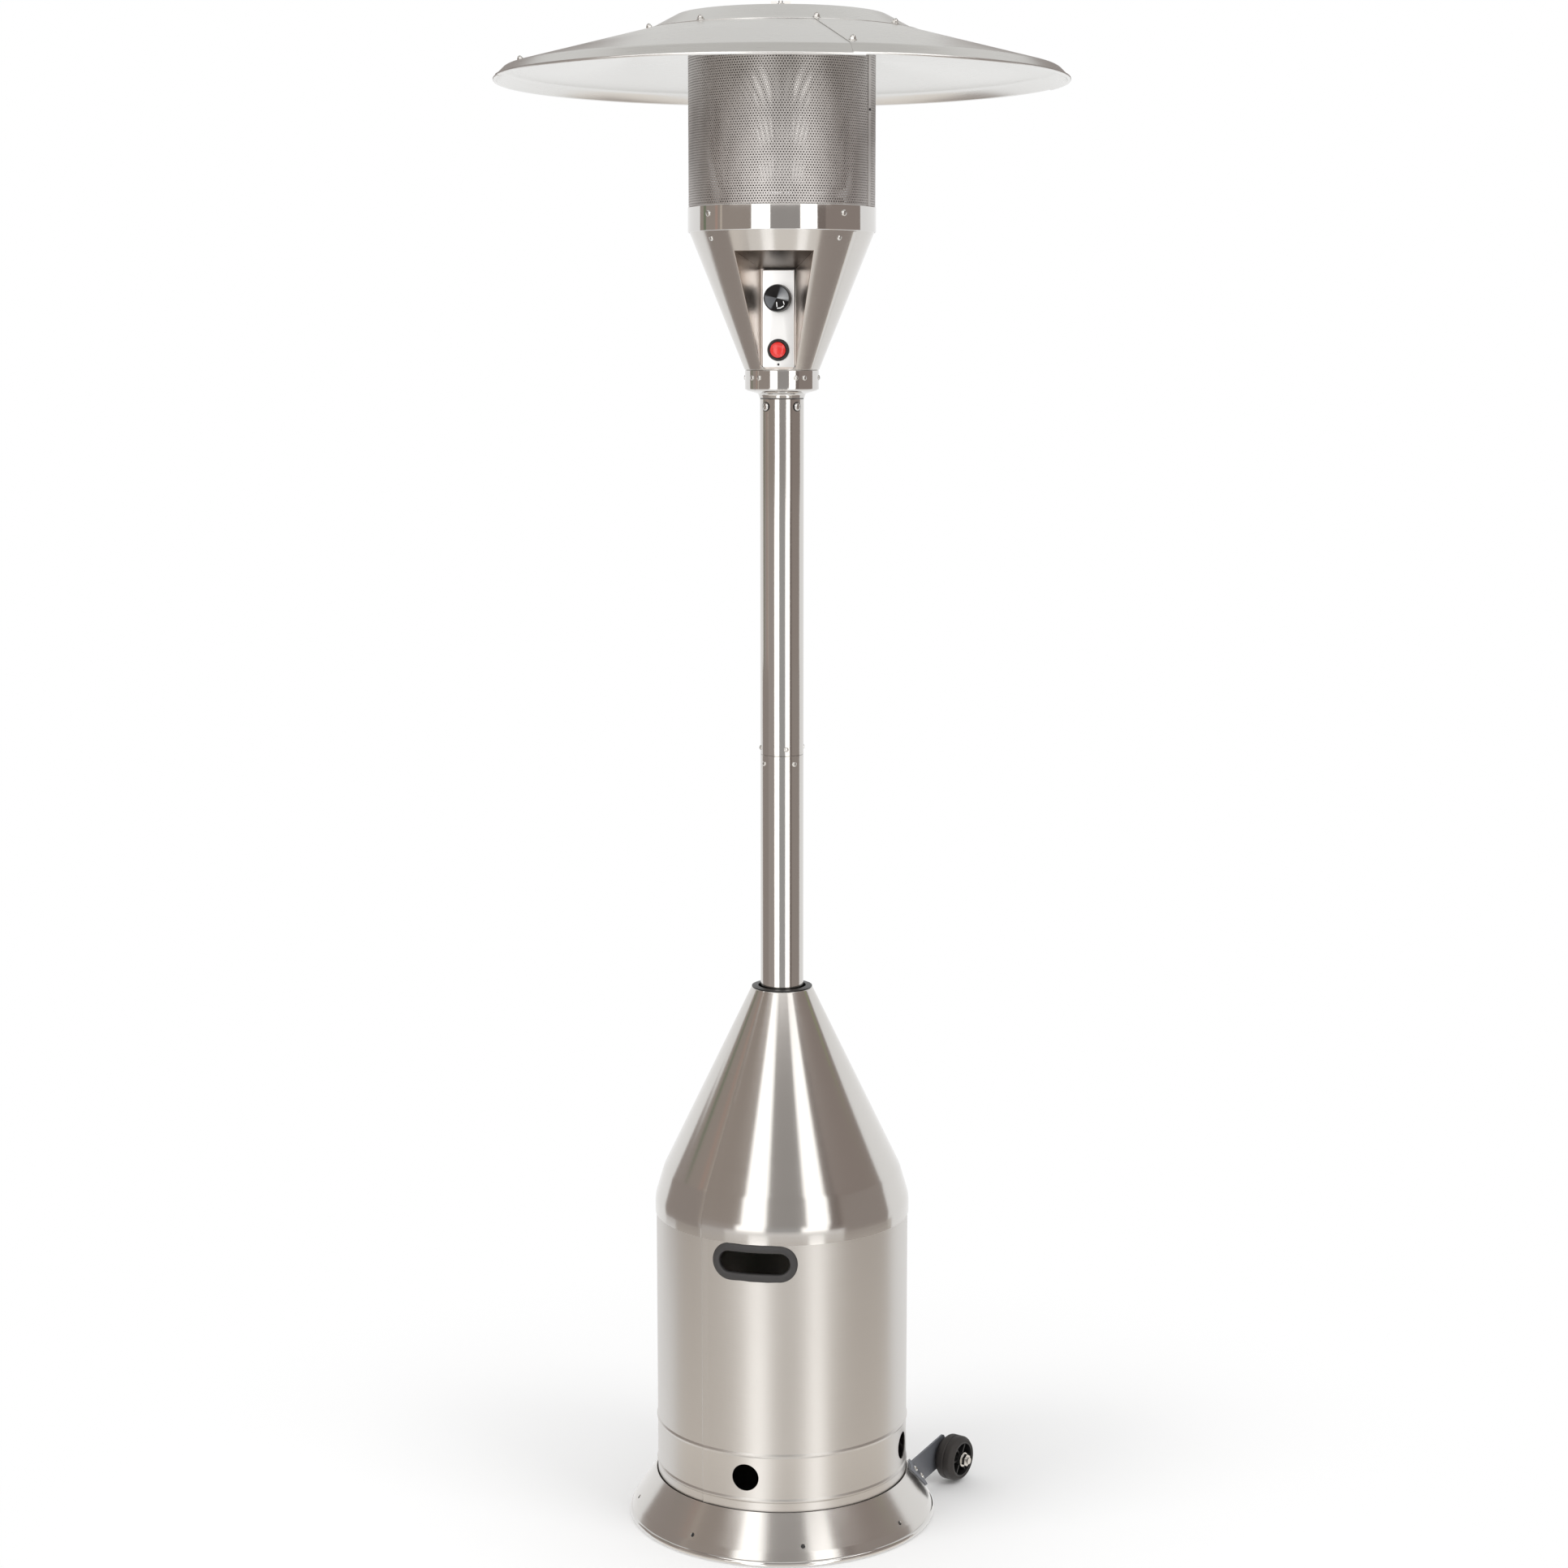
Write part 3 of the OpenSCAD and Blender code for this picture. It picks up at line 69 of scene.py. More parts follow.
camera = bpy.data.objects.new("camera", bpy.data.cameras.new("camera"))
camera.data.lens = LENS
camera.data.sensor_width = 36.0
camera.location = (VIEW_DISTANCE * math.sin(VIEW_ANGLE), -VIEW_DISTANCE * math.cos(VIEW_ANGLE), VIEW_HEIGHT)
camera.rotation_euler = (math.pi / 2 - VIEW_PITCH, 0.0, VIEW_ANGLE - VIEW_YAW)
bpy.context.scene.collection.objects.link(camera)
bpy.context.scene.camera = camera
print("camera at", tuple(round(v, 3) for v in camera.location))

# %% [markdown]
# Nearly every shell of the heater is spun or rolled sheet, so it is a profile turned about the post.
# A profile is a short path of (radius, height, corner radius) points. One helper rounds its corners with
# arcs, one gives it the thickness of the sheet, and one turns it. Angles count from the front towards +X.
# What fits into something else keeps a gap of FIT to it.

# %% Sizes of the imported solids
def foot(node):
    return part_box(node)[0].z


def top(node):
    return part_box(node)[1].z


def middle(node):
    return (foot(node) + top(node)) / 2


def reach(node):
    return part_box(node)[1].x


print("the post is", round(2 * reach("upper_post"), 4), "m wide")

# %% Profiles
SHEET = 1.2 * MM
FIT = 0.2 * MM
ARC_STEP = 7.5


def arc(centre, radius, angles):
    """Points on a circle."""
    return [centre + radius * Vector((math.cos(math.radians(a)), math.sin(math.radians(a)))) for a in angles]


def soft(path):
    """Rounds the corners of a path of (r, z, radius) points with arcs."""
    points = [Vector(p[:2]) for p in path]
    out = []
    for i, point in enumerate(points):
        bend = path[i][2] if 0 < i < len(path) - 1 else 0.0
        if bend == 0.0:
            out.append(point)
            continue
        a = (point - points[i - 1]).normalized()
        b = (points[i + 1] - point).normalized()
        turn = math.atan2(a.x * b.y - a.y * b.x, a.dot(b))
        start = point - a * bend * math.tan(abs(turn) / 2)
        centre = start + Vector((-a.y, a.x)) * math.copysign(bend, turn)
        count = max(2, math.ceil(abs(math.degrees(turn)) / ARC_STEP))
        for k in range(count + 1):
            out.append(centre + Matrix.Rotation(turn * k / count, 2) @ (start - centre))
    return out


def sheet(path, wall=SHEET):
    """The closed outline of a sheet that lies to the left of a path."""
    last = len(path) - 1
    other = []
    for i, point in enumerate(path):
        a = (path[max(i, 1)] - path[max(i, 1) - 1]).normalized()
        b = (path[min(i + 1, last)] - path[min(i + 1, last) - 1]).normalized()
        left = Vector((-a.y, a.x))
        mitre = (left + Vector((-b.y, b.x))).normalized()
        other.append(point + mitre * (wall / mitre.dot(left)))
    return path + other[::-1]


print("a square corner is rounded in", math.ceil(90 / ARC_STEP), "steps")

# %% Turned shells
TURN_STEPS = 240
FOLD = 32.0
TOUCHING = 1e-7


def polar(radius, angle, z=0.0):
    a = math.radians(angle)
    return Vector((radius * math.sin(a), -radius * math.cos(a), z))


def shade(mesh, fold=FOLD):
    """Shades a mesh smooth, with sharp edges where it folds by more than an angle."""
    mesh.shade_smooth()
    mesh.set_sharp_from_angle(angle=math.radians(fold))


def shell(name, bm, fold=FOLD):
    """Turns a bmesh into an object."""
    bmesh.ops.remove_doubles(bm, verts=bm.verts, dist=TOUCHING)
    bmesh.ops.recalc_face_normals(bm, faces=bm.faces)
    mesh = bpy.data.meshes.new(name)
    bm.to_mesh(mesh)
    bm.free()
    shade(mesh, fold)
    made = bpy.data.objects.new(name, mesh)
    bpy.context.scene.collection.objects.link(made)
    return made


def stitch(bm, a, b, closed=True):
    """Adds the faces between two rows of vertices."""
    for i in range(len(a) if closed else len(a) - 1):
        j = (i + 1) % len(a)
        bm.faces.new((a[i], a[j], b[j], b[i]))


def turn_into(bm, outline, start=0.0, sweep=360.0, steps=TURN_STEPS, ripple=None):
    """Adds a closed (r, z) outline turned about the post to a bmesh."""
    whole = sweep >= 360.0
    spans = steps if whole else max(2, math.ceil(steps * sweep / 360.0))
    rings = []
    for k in range(spans if whole else spans + 1):
        angle = start + sweep * k / spans
        ring = []
        for r, z in outline:
            out = ripple(angle, r, z) if ripple else 0.0
            ring.append(bm.verts.new(polar(r + out, angle, z)))
        rings.append(ring)
    for k in range(spans):
        stitch(bm, rings[k], rings[(k + 1) % len(rings)])
    if not whole:
        bm.faces.new(rings[0])
        bm.faces.new(rings[-1][::-1])


def turned(name, *outlines, **how):
    bm = bmesh.new()
    for outline in outlines:
        turn_into(bm, outline, **how)
    return shell(name, bm)


print("a whole turn has", TURN_STEPS, "steps")

# %% [markdown]
# A hole cut with a boolean leaves long uneven faces round it, and a polished sheet shows each of them as
# a dent. The cut shells therefore get their normals from the profile that they were turned from.

# %% Cuts
def as_plain_mesh(made):
    """Evaluates an object's modifiers into its mesh."""
    graph = bpy.context.evaluated_depsgraph_get()
    mesh = bpy.data.meshes.new_from_object(made.evaluated_get(graph), depsgraph=graph)
    made.modifiers.clear()
    made.data = mesh
    return made


def cut(made, *cutters):
    for cutter in cutters:
        modifier = made.modifiers.new("cut", "BOOLEAN")
        modifier.operation = "DIFFERENCE"
        modifier.solver = "EXACT"
        modifier.object = cutter
    as_plain_mesh(made)
    for cutter in cutters:
        bpy.data.objects.remove(cutter)
    shade(made.data)
    return made


def rod(name, radius, length, at, direction, steps=48):
    """A plain cylinder to cut holes with, centred on a point."""
    bm = bmesh.new()
    bmesh.ops.create_cone(
        bm, cap_ends=True, segments=steps, radius1=radius, radius2=radius, depth=length,
        matrix=Matrix.Translation(at) @ Vector(direction).to_track_quat("Z", "Y").to_matrix().to_4x4())
    return shell(name, bm)


def block(bm, at, size, turn=Matrix()):
    """Adds a box about a point to a bmesh, turned about that point."""
    bmesh.ops.create_cube(bm, size=1.0, matrix=Matrix.Translation(at) @ turn @ Matrix.Diagonal((*size, 1.0)))


def merged(name, *parts):
    """Joins objects into one and removes them."""
    bm = bmesh.new()
    for part in parts:
        bm.from_mesh(part.data)
        bpy.data.objects.remove(part)
    return shell(name, bm)


def rod_ring(name, count, phase, radius, length, out, z, slope=0.0, steps=48):
    """Rods that point away from the post at equal angles, as one object."""
    angles = [phase + i * 360 / count for i in range(count)]
    return merged(name, *[
        rod("rod", radius, length, polar(out, a, z), polar(1.0, a, slope), steps) for a in angles])


print("holes are cut with rods, blocks and merged sets of them")

# %% Normals that keep the shine even
SAME_FACING = 0.9


def even_skin(made, outline):
    """Gives the faces of a turned skin the normals of its profile."""
    count = len(outline)
    starts = np.array([tuple(p) for p in outline])
    steps = np.roll(starts, -1, axis=0) - starts
    lengths = np.linalg.norm(steps, axis=1)
    area = np.sum(starts[:, 0] * np.roll(starts[:, 1], -1) - np.roll(starts[:, 0], -1) * starts[:, 1])
    flats = np.stack([steps[:, 1], -steps[:, 0]], axis=1) / lengths[:, None] * np.sign(area)
    heads, tails = flats.copy(), flats.copy()
    for i in range(count):
        before = flats[i - 1]
        if before @ flats[i] > math.cos(math.radians(FOLD)):
            mean = (before + flats[i]) / np.linalg.norm(before + flats[i])
            heads[i] = mean
            tails[i - 1] = mean
    mesh = made.data
    normals = [(0.0, 0.0, 0.0)] * len(mesh.loops)
    for face in mesh.polygons:
        c = face.center
        r = math.hypot(c.x, c.y)
        offset = np.array((r, c.z)) - starts
        along = np.clip(np.sum(offset * steps, axis=1) / lengths**2, 0.0, 1.0)
        gap = np.linalg.norm(offset - along[:, None] * steps, axis=1)
        i = int(np.argmin(gap))
        facing = (face.normal.x * c.x + face.normal.y * c.y) / max(r, 1e-9)
        if flats[i] @ np.array((facing, face.normal.z)) < SAME_FACING:
            continue
        for k in face.loop_indices:
            p = mesh.vertices[mesh.loops[k].vertex_index].co
            r = max(math.hypot(p.x, p.y), 1e-9)
            t = float(np.clip((np.array((r, p.z)) - starts[i]) @ steps[i] / lengths[i] ** 2, 0.0, 1.0))
            n = heads[i] * (1.0 - t) + tails[i] * t
            normals[k] = tuple(Vector((n[0] * p.x / r, n[0] * p.y / r, n[1])).normalized())
    mesh.normals_split_custom_set(normals)
    return made


print("faces within", round(math.degrees(math.acos(SAME_FACING))), "degrees of the profile take its normals")

# %% [markdown]
# Metal gets its look from what it mirrors, so its colour stays plain and its grain sits in the roughness
# and in a shallow bump. The node maths is easier to read as Python: a Term wraps an output socket, and an
# operator between Terms or numbers adds the Math node for it. Every other node comes from Term.of.

# %% Expressions for shader and geometry nodes
def operator(operation, swapped=False):
    """The method for a Python operator between a Term and a Term or number."""
    return lambda self, other: self.maths(operation, other, swapped=swapped)


class Term:
    """An output socket that can stand in a Python expression."""

    def __init__(self, socket):
        self.socket = socket

    @classmethod
    def of(cls, tree, kind, settings=None, inputs=None, output=0):
        """Adds a node: its settings first, then the values and links of its sockets."""
        made = tree.nodes.new(kind)
        for key, value in (settings or {}).items():
            if key == "stops":
                cls.lay_stops(made.color_ramp.elements, value)
            else:
                setattr(made, key, value)
        for key, value in (inputs or {}).items():
            if isinstance(value, Term):
                tree.links.new(value.socket, made.inputs[key])
            else:
                made.inputs[key].default_value = value
        return None if output is None else cls(made.outputs[output])

    @staticmethod
    def lay_stops(elements, stops):
        while len(elements) < len(stops):
            elements.new(1.0)
        for element, (position, colour) in zip(elements, stops):
            element.position = position
            element.color = (*colour, 1.0)

    def beside(self, output):
        """Another output of the same node."""
        return Term(self.socket.node.outputs[output])

    def maths(self, operation, *others, swapped=False):
        values = (*others, self) if swapped else (self, *others)
        tree = self.socket.id_data
        return Term.of(tree, "ShaderNodeMath", {"operation": operation}, dict(enumerate(values)))

    __add__ = __radd__ = operator("ADD")
    __sub__ = operator("SUBTRACT")
    __rsub__ = operator("SUBTRACT", swapped=True)
    __mul__ = __rmul__ = operator("MULTIPLY")
    __truediv__ = operator("DIVIDE")
    __rtruediv__ = operator("DIVIDE", swapped=True)
    __mod__ = operator("FLOORED_MODULO")


print("Term adds, subtracts, multiplies and divides sockets")

# %% Parts of a finish
def place(tree):
    """Coordinates of the piece itself, in metres."""
    return Term.of(tree, "ShaderNodeTexCoord", output="Object")


def stretch(tree, at, factors):
    return Term.of(tree, "ShaderNodeVectorMath", {"operation": "MULTIPLY"}, {0: at, 1: factors})


def noise(tree, at, scale=1.0, detail=2.0):
    return Term.of(tree, "ShaderNodeTexNoise", inputs={"Vector": at, "Scale": scale, "Detail": detail})


def blend(tree, factor, first, second):
    mix = {0: factor, 6: (*first, 1.0), 7: (*second, 1.0)}
    return Term.of(tree, "ShaderNodeMix", {"data_type": "RGBA"}, mix, output=2)


def bumped(tree, height, depth):
    return Term.of(tree, "ShaderNodeBump", inputs={"Height": height, "Distance": depth, "Strength": 1.0})


def finish(name, fixed, varied=None):
    """A Principled material with fixed values on its sockets and varied ones linked to them."""
    material = bpy.data.materials.new(name)
    material.use_nodes = True
    tree = material.node_tree
    shader = tree.nodes["Principled BSDF"]
    for key, value in fixed.items():
        shader.inputs[key].default_value = (*value, 1.0) if key == "Base Color" else value
    for key, term in (varied(tree) if varied else {}).items():
        tree.links.new(term.socket, shader.inputs[key])
    return material


print("a finish is one Principled shader with what varies linked to it")

# %% [markdown]
# Brushed steel is scored by fine lines. On the housing and the base the lines run round the shell, on the
# post they run up it. The same noise is stretched along the lines, and the highlight is stretched across
# them. Polished steel has no lines, only faint marks of wiping.

# %% Steel and aluminium
STEEL = (0.66, 0.64, 0.615)
STEEL_DEEP = (0.60, 0.58, 0.555)
ROUND_GRAIN = (9.0, 9.0, 2600.0)
POST_GRAIN = (2400.0, 2400.0, 7.0)
RECESS_GRAIN = (900.0, 900.0, 12.0)
SPUN_GRAIN = (14.0, 14.0, 900.0)
WIPE_GRAIN = (30.0, 30.0, 12.0)
ROUND_BRUSH = {"Anisotropic": 0.6, "Anisotropic Rotation": 0.25}


def brushed(name, fixed, grain, dull, spread, depth, light=STEEL, dark=STEEL_DEEP):
    """Brushed metal: fine lines and faint clouds add to a lowest roughness."""
    def varied(tree):
        at = place(tree)
        lines = noise(tree, stretch(tree, at, grain), detail=3.0)
        clouds = noise(tree, at, scale=9.0)
        return {
            "Base Color": blend(tree, lines * 0.7 + clouds * 0.3, dark, light),
            "Roughness": dull + lines * spread + clouds * (spread * 0.4),
            "Normal": bumped(tree, lines, depth),
        }
    return finish(name, {"Metallic": 1.0, **fixed}, varied)


def polished(name, dull, spread, light, dark, metallic=1.0):
    """Polished metal with faint wipe marks."""
    def varied(tree):
        wipes = noise(tree, stretch(tree, place(tree), WIPE_GRAIN), detail=4.0)
        return {"Base Color": blend(tree, wipes, dark, light), "Roughness": dull + wipes * spread}
    return finish(name, {"Metallic": metallic}, varied)


can_steel = brushed(
    "brushed_can_steel", {**ROUND_BRUSH, "Anisotropic": 0.3}, ROUND_GRAIN, 0.27, 0.12, 0.00002)
cone_steel = brushed("fine_brushed_cone_steel", ROUND_BRUSH, ROUND_GRAIN, 0.12, 0.07, 0.000006)
flare_steel = brushed("brushed_flare_steel", ROUND_BRUSH, ROUND_GRAIN, 0.16, 0.08, 0.00001)
post_steel = brushed("brushed_post_steel", {"Anisotropic": 0.3}, POST_GRAIN, 0.07, 0.05, 0.000003)
mirror_steel = polished("polished_steel", 0.045, 0.04, (0.68, 0.665, 0.645), (0.63, 0.615, 0.60))
plate_steel = polished("bright_satin_plate", 0.30, 0.06, (0.94, 0.94, 0.935), (0.90, 0.90, 0.895))
recess_steel = brushed(
    "recess_steel", {}, RECESS_GRAIN, 0.24, 0.10, 0.00001, (0.86, 0.79, 0.735), (0.78, 0.71, 0.655))
# Dark brown on the roof of the control recess is painted shade.
roof_painted_shade_steel = brushed(
    "recess_roof_painted_shade", {}, RECESS_GRAIN, 0.24, 0.10, 0.00001, (0.22, 0.185, 0.16), (0.17, 0.14, 0.12))
spun_aluminium = brushed(
    "spun_aluminium", {**ROUND_BRUSH, "Anisotropic": 0.4}, SPUN_GRAIN, 0.22, 0.10, 0.00001,
    (0.80, 0.795, 0.78), (0.73, 0.725, 0.71))
screw_steel = polished("bright_screw_steel", 0.12, 0.10, (0.74, 0.73, 0.71), (0.62, 0.61, 0.59))
zinc_plate = polished("zinc_plate", 0.42, 0.16, (0.23, 0.24, 0.265), (0.16, 0.168, 0.188), metallic=0.5)
screen_steel = polished("screen_steel", 0.36, 0.16, (0.76, 0.735, 0.72), (0.38, 0.36, 0.345))
print("metals:", can_steel.name, cone_steel.name, post_steel.name, mirror_steel.name, spun_aluminium.name)

# %% [markdown]
# Moulded rubber and plastic scatter light, and their skin has a fine leathery grain. A little noise in the
# colour keeps the near-black from looking painted on. Ceramic, soot and paint are made in the same way,
# and the valve's brass is a polished metal.

# %% Rubber, plastic and the inner metals
def moulded(name, light, dark, dull, spread, grain, depth, fixed=None):
    """A moulded or coated surface with a fine grain in its skin."""
    def varied(tree):
        at = place(tree)
        skin = noise(tree, at, scale=grain, detail=3.0)
        return {
            "Base Color": blend(tree, noise(tree, at, scale=40.0), dark, light),
            "Roughness": dull + skin * spread,
            "Normal": bumped(tree, skin, depth),
        }
    return finish(name, fixed or {}, varied)


trim_rubber = moulded(
    "trim_rubber", (0.046, 0.043, 0.043), (0.032, 0.030, 0.030), 0.46, 0.2, 900.0, 0.0001)
tyre_rubber = moulded(
    "tyre_rubber", (0.040, 0.034, 0.031), (0.024, 0.021, 0.020), 0.55, 0.2, 700.0, 0.0002)
black_plastic = moulded(
    "black_plastic", (0.022, 0.021, 0.021), (0.014, 0.013, 0.013), 0.32, 0.15, 1200.0, 0.00005)
red_plastic = moulded(
    "red_plastic", (0.78, 0.030, 0.022), (0.66, 0.018, 0.015), 0.16, 0.08, 500.0, 0.00002,
    {"Coat Weight": 0.6, "Coat Roughness": 0.04})
glazed_ceramic = moulded(
    "glazed_ceramic", (0.86, 0.84, 0.80), (0.76, 0.74, 0.69), 0.2, 0.1, 300.0, 0.00002, {"Coat Weight": 0.5})
sooty_iron = moulded(
    "sooty_iron", (0.16, 0.15, 0.15), (0.07, 0.065, 0.06), 0.5, 0.3, 400.0, 0.0002, {"Metallic": 0.7})
# A dark paint. On the plate under the housing and on the sheet behind the control plate it is painted shade.
dark_paint_and_shade = moulded(
    "dark_paint_and_shade", (0.030, 0.029, 0.028), (0.018, 0.017, 0.017), 0.5, 0.2, 800.0, 0.0001)
pointer_white = moulded(
    "pointer_white", (0.90, 0.90, 0.89), (0.84, 0.84, 0.83), 0.35, 0.1, 900.0, 0.00002)
valve_brass = polished("valve_brass", 0.2, 0.15, (0.66, 0.50, 0.24), (0.52, 0.39, 0.17))
print("moulded finishes:", trim_rubber.name, tyre_rubber.name, black_plastic.name, red_plastic.name)

# %% [markdown]
# Each finished piece rides on a body of the frame and hides the solid that it stands for.

# %% Fitting a piece to the frame
def fit(made, body, slot, material, *nodes):
    made.data.materials.clear()
    made.data.materials.append(material)
    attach(made, body)
    if nodes:
        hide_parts(*nodes)
    print(f"{made.name}: {len(made.data.polygons)} faces, rides on {body}")


# %% [markdown]
# The base is a flared skirt whose rim is rolled round a wire. It stands on the roll. A row of small holes
# above the rim takes ground pegs.

# %% Base skirt
RIM_ROLL = 5 * MM
RIM_LIFT = 4.4 * MM
RIM_TUCK = 0.85
ROLL_STEP = 12
FLARE_LIP = 20 * MM
FLARE_LIP_W = 8 * MM
FLARE_BEND = 10 * MM
FLARE_ROOM = 2.5 * MM
PEG_HOLE_R = 3.25 * MM
PEG_HOLE_Z = 27 * MM
PEG_LENGTH = 16 * MM
PEG_HOLES = 8
PEG_PHASE = 14.0
BEAD_OUT = 1.6 * MM

base_r = reach("base_skirt")
flare_top = top("base_skirt")
can_r = reach("housing_can") - BEAD_OUT
flare_top_r = can_r + FLARE_ROOM
lip_r = base_r - FLARE_LIP_W
roll_r = base_r - RIM_ROLL
flare_slope = (lip_r - flare_top_r) / (flare_top - FLARE_LIP)
flare_outline = sheet(soft([
    (flare_top_r, flare_top, 0), (lip_r, FLARE_LIP, FLARE_BEND),
    (roll_r + 2 * MM, RIM_LIFT + RIM_ROLL * RIM_TUCK, 0)]), -SHEET)
roll = arc(Vector((roll_r, RIM_LIFT)), RIM_ROLL, range(0, 360, ROLL_STEP))
roll_outline = [Vector((p.x, max(0.0, p.y))) for p in roll]
peg_r = flare_top_r + (flare_top - PEG_HOLE_Z) * flare_slope
pegs = rod_ring("pegs", PEG_HOLES, PEG_PHASE, PEG_HOLE_R, PEG_LENGTH, peg_r, PEG_HOLE_Z, flare_slope, 24)
skirt = cut(turned("base_skirt_skin", flare_outline), pegs)
even_skin(skirt, flare_outline)
fit(skirt, "stand", "stainless_steel", flare_steel, "base_skirt")
fit(turned("base_rim_roll", roll_outline), "stand", "stainless_steel", mirror_steel)

# %% [markdown]
# The housing is a rolled cylinder with two pressed beads, four round air vents and two hand slots, under a
# cone with a rounded shoulder. Both sheets close in a lap seam, which shows as one fine bright line.

# %% Housing outline and lap seam
BEAD_Z = (83 * MM, 151 * MM)
BEAD_HALF = 3.4 * MM
BEAD_BEND = 3 * MM
BEAD_FILLET = 1 * MM
SEAM_ANGLE = -32.4
SEAM_SWEEP = 3.4
SEAM_STEP = 0.7 * MM
SEAM_RAMP = 0.45
SEAM_STEPS = 2400

can_foot = foot("housing_can")
can_top = top("housing_can")


def can_path(out=0.0):
    points = [(can_r + out, can_foot, 0)]
    for z in BEAD_Z:
        points += [
            (can_r + out, z - BEAD_HALF, BEAD_FILLET), (can_r + BEAD_OUT + out, z, BEAD_BEND),
            (can_r + out, z + BEAD_HALF, BEAD_FILLET)]
    return soft(points + [(can_r + out, can_top, 0)])


def lap_seam(name, path, start, sweep):
    """A raised strip, steep at its first edge and flat at the other, as the edge of a lapped sheet is."""
    def raised(angle, r, z):
        along = angle - start
        up = min(along / SEAM_RAMP, (sweep - along) / (sweep - SEAM_RAMP))
        return -SEAM_STEP * (1.0 - max(0.0, up))
    return turned(name, sheet(path, SEAM_STEP), start=start, sweep=sweep, steps=SEAM_STEPS, ripple=raised)


print("the housing's profile has", len(can_path()), "points")

# %% Vents and hand slots
VENT_R = 20 * MM
VENT_PHASE = -10.6
VENT_DEEP = 60 * MM
VENTS = 4
SLOT_PHASE = -6.6
SLOT_W = 105 * MM
SLOT_H = 31.5 * MM
SLOT_DEEP = (1.15, 0.75)
TRIM_NECK = 3.5 * MM

vent_z = sum(BEAD_Z) / 2
slot_z = middle("hand_trim_front")


def stadium(width, height, step=2.5 * MM):
    """Points of a stadium outline and their outward directions."""
    half = (width - height) / 2
    r = height / 2
    straight = math.ceil(2 * half / step)
    bend = math.ceil(math.pi * r / step)
    points = []
    for side in (1, -1):
        for k in range(straight):
            points.append((Vector((side * (-half + 2 * half * k / straight), side * r)), Vector((0, side))))
        for k in range(bend):
            a = math.radians(90 * side) - math.pi * k / bend
            d = Vector((math.cos(a), math.sin(a)))
            points.append((Vector((side * half, 0)) + d * r, d))
    return points


def slot_cutter(angle):
    """A block with the outline of a hand slot that runs through the housing's wall."""
    bm = bmesh.new()
    turn = Matrix.Rotation(math.radians(angle), 4, "Z")
    loop = stadium(SLOT_W + 2 * TRIM_NECK, SLOT_H + 2 * TRIM_NECK)
    near, far = [
        [bm.verts.new(turn @ Vector((p.x, -share * can_r, slot_z + p.y))) for p, d in loop]
        for share in SLOT_DEEP]
    stitch(bm, near, far)
    bm.faces.new(near)
    bm.faces.new(far[::-1])
    return shell("slot", bm)


vents = rod_ring("vents", VENTS, VENT_PHASE, VENT_R, VENT_DEEP, can_r, vent_z, steps=96)
slots = merged("slots", *[slot_cutter(SLOT_PHASE + half) for half in (0.0, 180.0)])
print("vents at", round(vent_z, 3), "m, hand slots at", round(slot_z, 3), "m")

# %% Housing cylinder
can_outline = sheet(can_path())
can = cut(turned("housing_can_skin", can_outline), vents, slots)
even_skin(can, can_outline)
fit(can, "housing", "stainless_steel", can_steel, "housing_can")
can_seam = lap_seam("housing_can_seam", can_path(SEAM_STEP), SEAM_ANGLE, SEAM_SWEEP)
fit(can_seam, "housing", "stainless_steel", can_steel)

# %% [markdown]
# The housing's cone is rolled from sheet as well. Two wide bends make its rounded shoulder, and its top is
# folded in under a black plastic ring that lines the hole for the post.

# %% Housing cone and post ring
SKIRT_UP = 22 * MM
SHOULDER_H = 44 * MM
SHOULDER_IN = 13 * MM
SHOULDER_BEND = 60 * MM
CONE_BEND = 40 * MM
CONE_FOLD = 3 * MM
CONE_LIFT = 3 * MM
FOLD_POINTS = 4
RING_GAP = 3.5 * MM
RING_W = 9.5 * MM
RING_WALL = 3 * MM
RING_STEM = 6 * MM
RING_EDGE = 1.2 * MM
RING_DOME = 1.8 * MM

cone_foot = foot("housing_cone")
cone_top = top("housing_cone") + CONE_LIFT
cone_r = reach("housing_cone")
shoulder_foot = cone_foot + SKIRT_UP
ring_in = reach("lower_post") + RING_GAP
ring_out = ring_in + RING_W
stem_out = ring_in + RING_WALL
stem_foot = cone_top - RING_STEM
ring_top = cone_top + RING_DOME


def cone_path(out=0.0):
    return soft([
        (cone_r + out, cone_foot, 0), (cone_r + out, shoulder_foot, SHOULDER_BEND),
        (cone_r - SHOULDER_IN + out, shoulder_foot + SHOULDER_H, CONE_BEND),
        (ring_out + out, cone_top, CONE_FOLD), (stem_out, cone_top, 0)])


cone = turned("housing_cone_skin", sheet(cone_path()))
fit(cone, "housing", "stainless_steel", cone_steel, "housing_cone")
cone_seam = lap_seam("housing_cone_seam", cone_path(SEAM_STEP)[:-FOLD_POINTS], SEAM_ANGLE, SEAM_SWEEP)
fit(cone_seam, "housing", "stainless_steel", cone_steel)
ring_outline = soft([
    (ring_in, stem_foot, 0), (stem_out, stem_foot, 0), (stem_out, cone_top, 0),
    (ring_out, cone_top + FIT, 0), (ring_out, cone_top + RING_EDGE, 0.5 * MM),
    (ring_in + 1.5 * MM, ring_top, 1.2 * MM),
    (ring_in, ring_top, 0.6 * MM), (ring_in, cone_top, 0)])
fit(turned("post_ring_moulding", ring_outline), "housing", "black_plastic", black_plastic, "post_ring")

# %% [markdown]
# A rubber moulding edges each hand slot. It is pushed on by hand, so its lip is never quite straight. The
# moulding is one cross-section, in millimetres, swept round the slot and wrapped onto the cylinder.

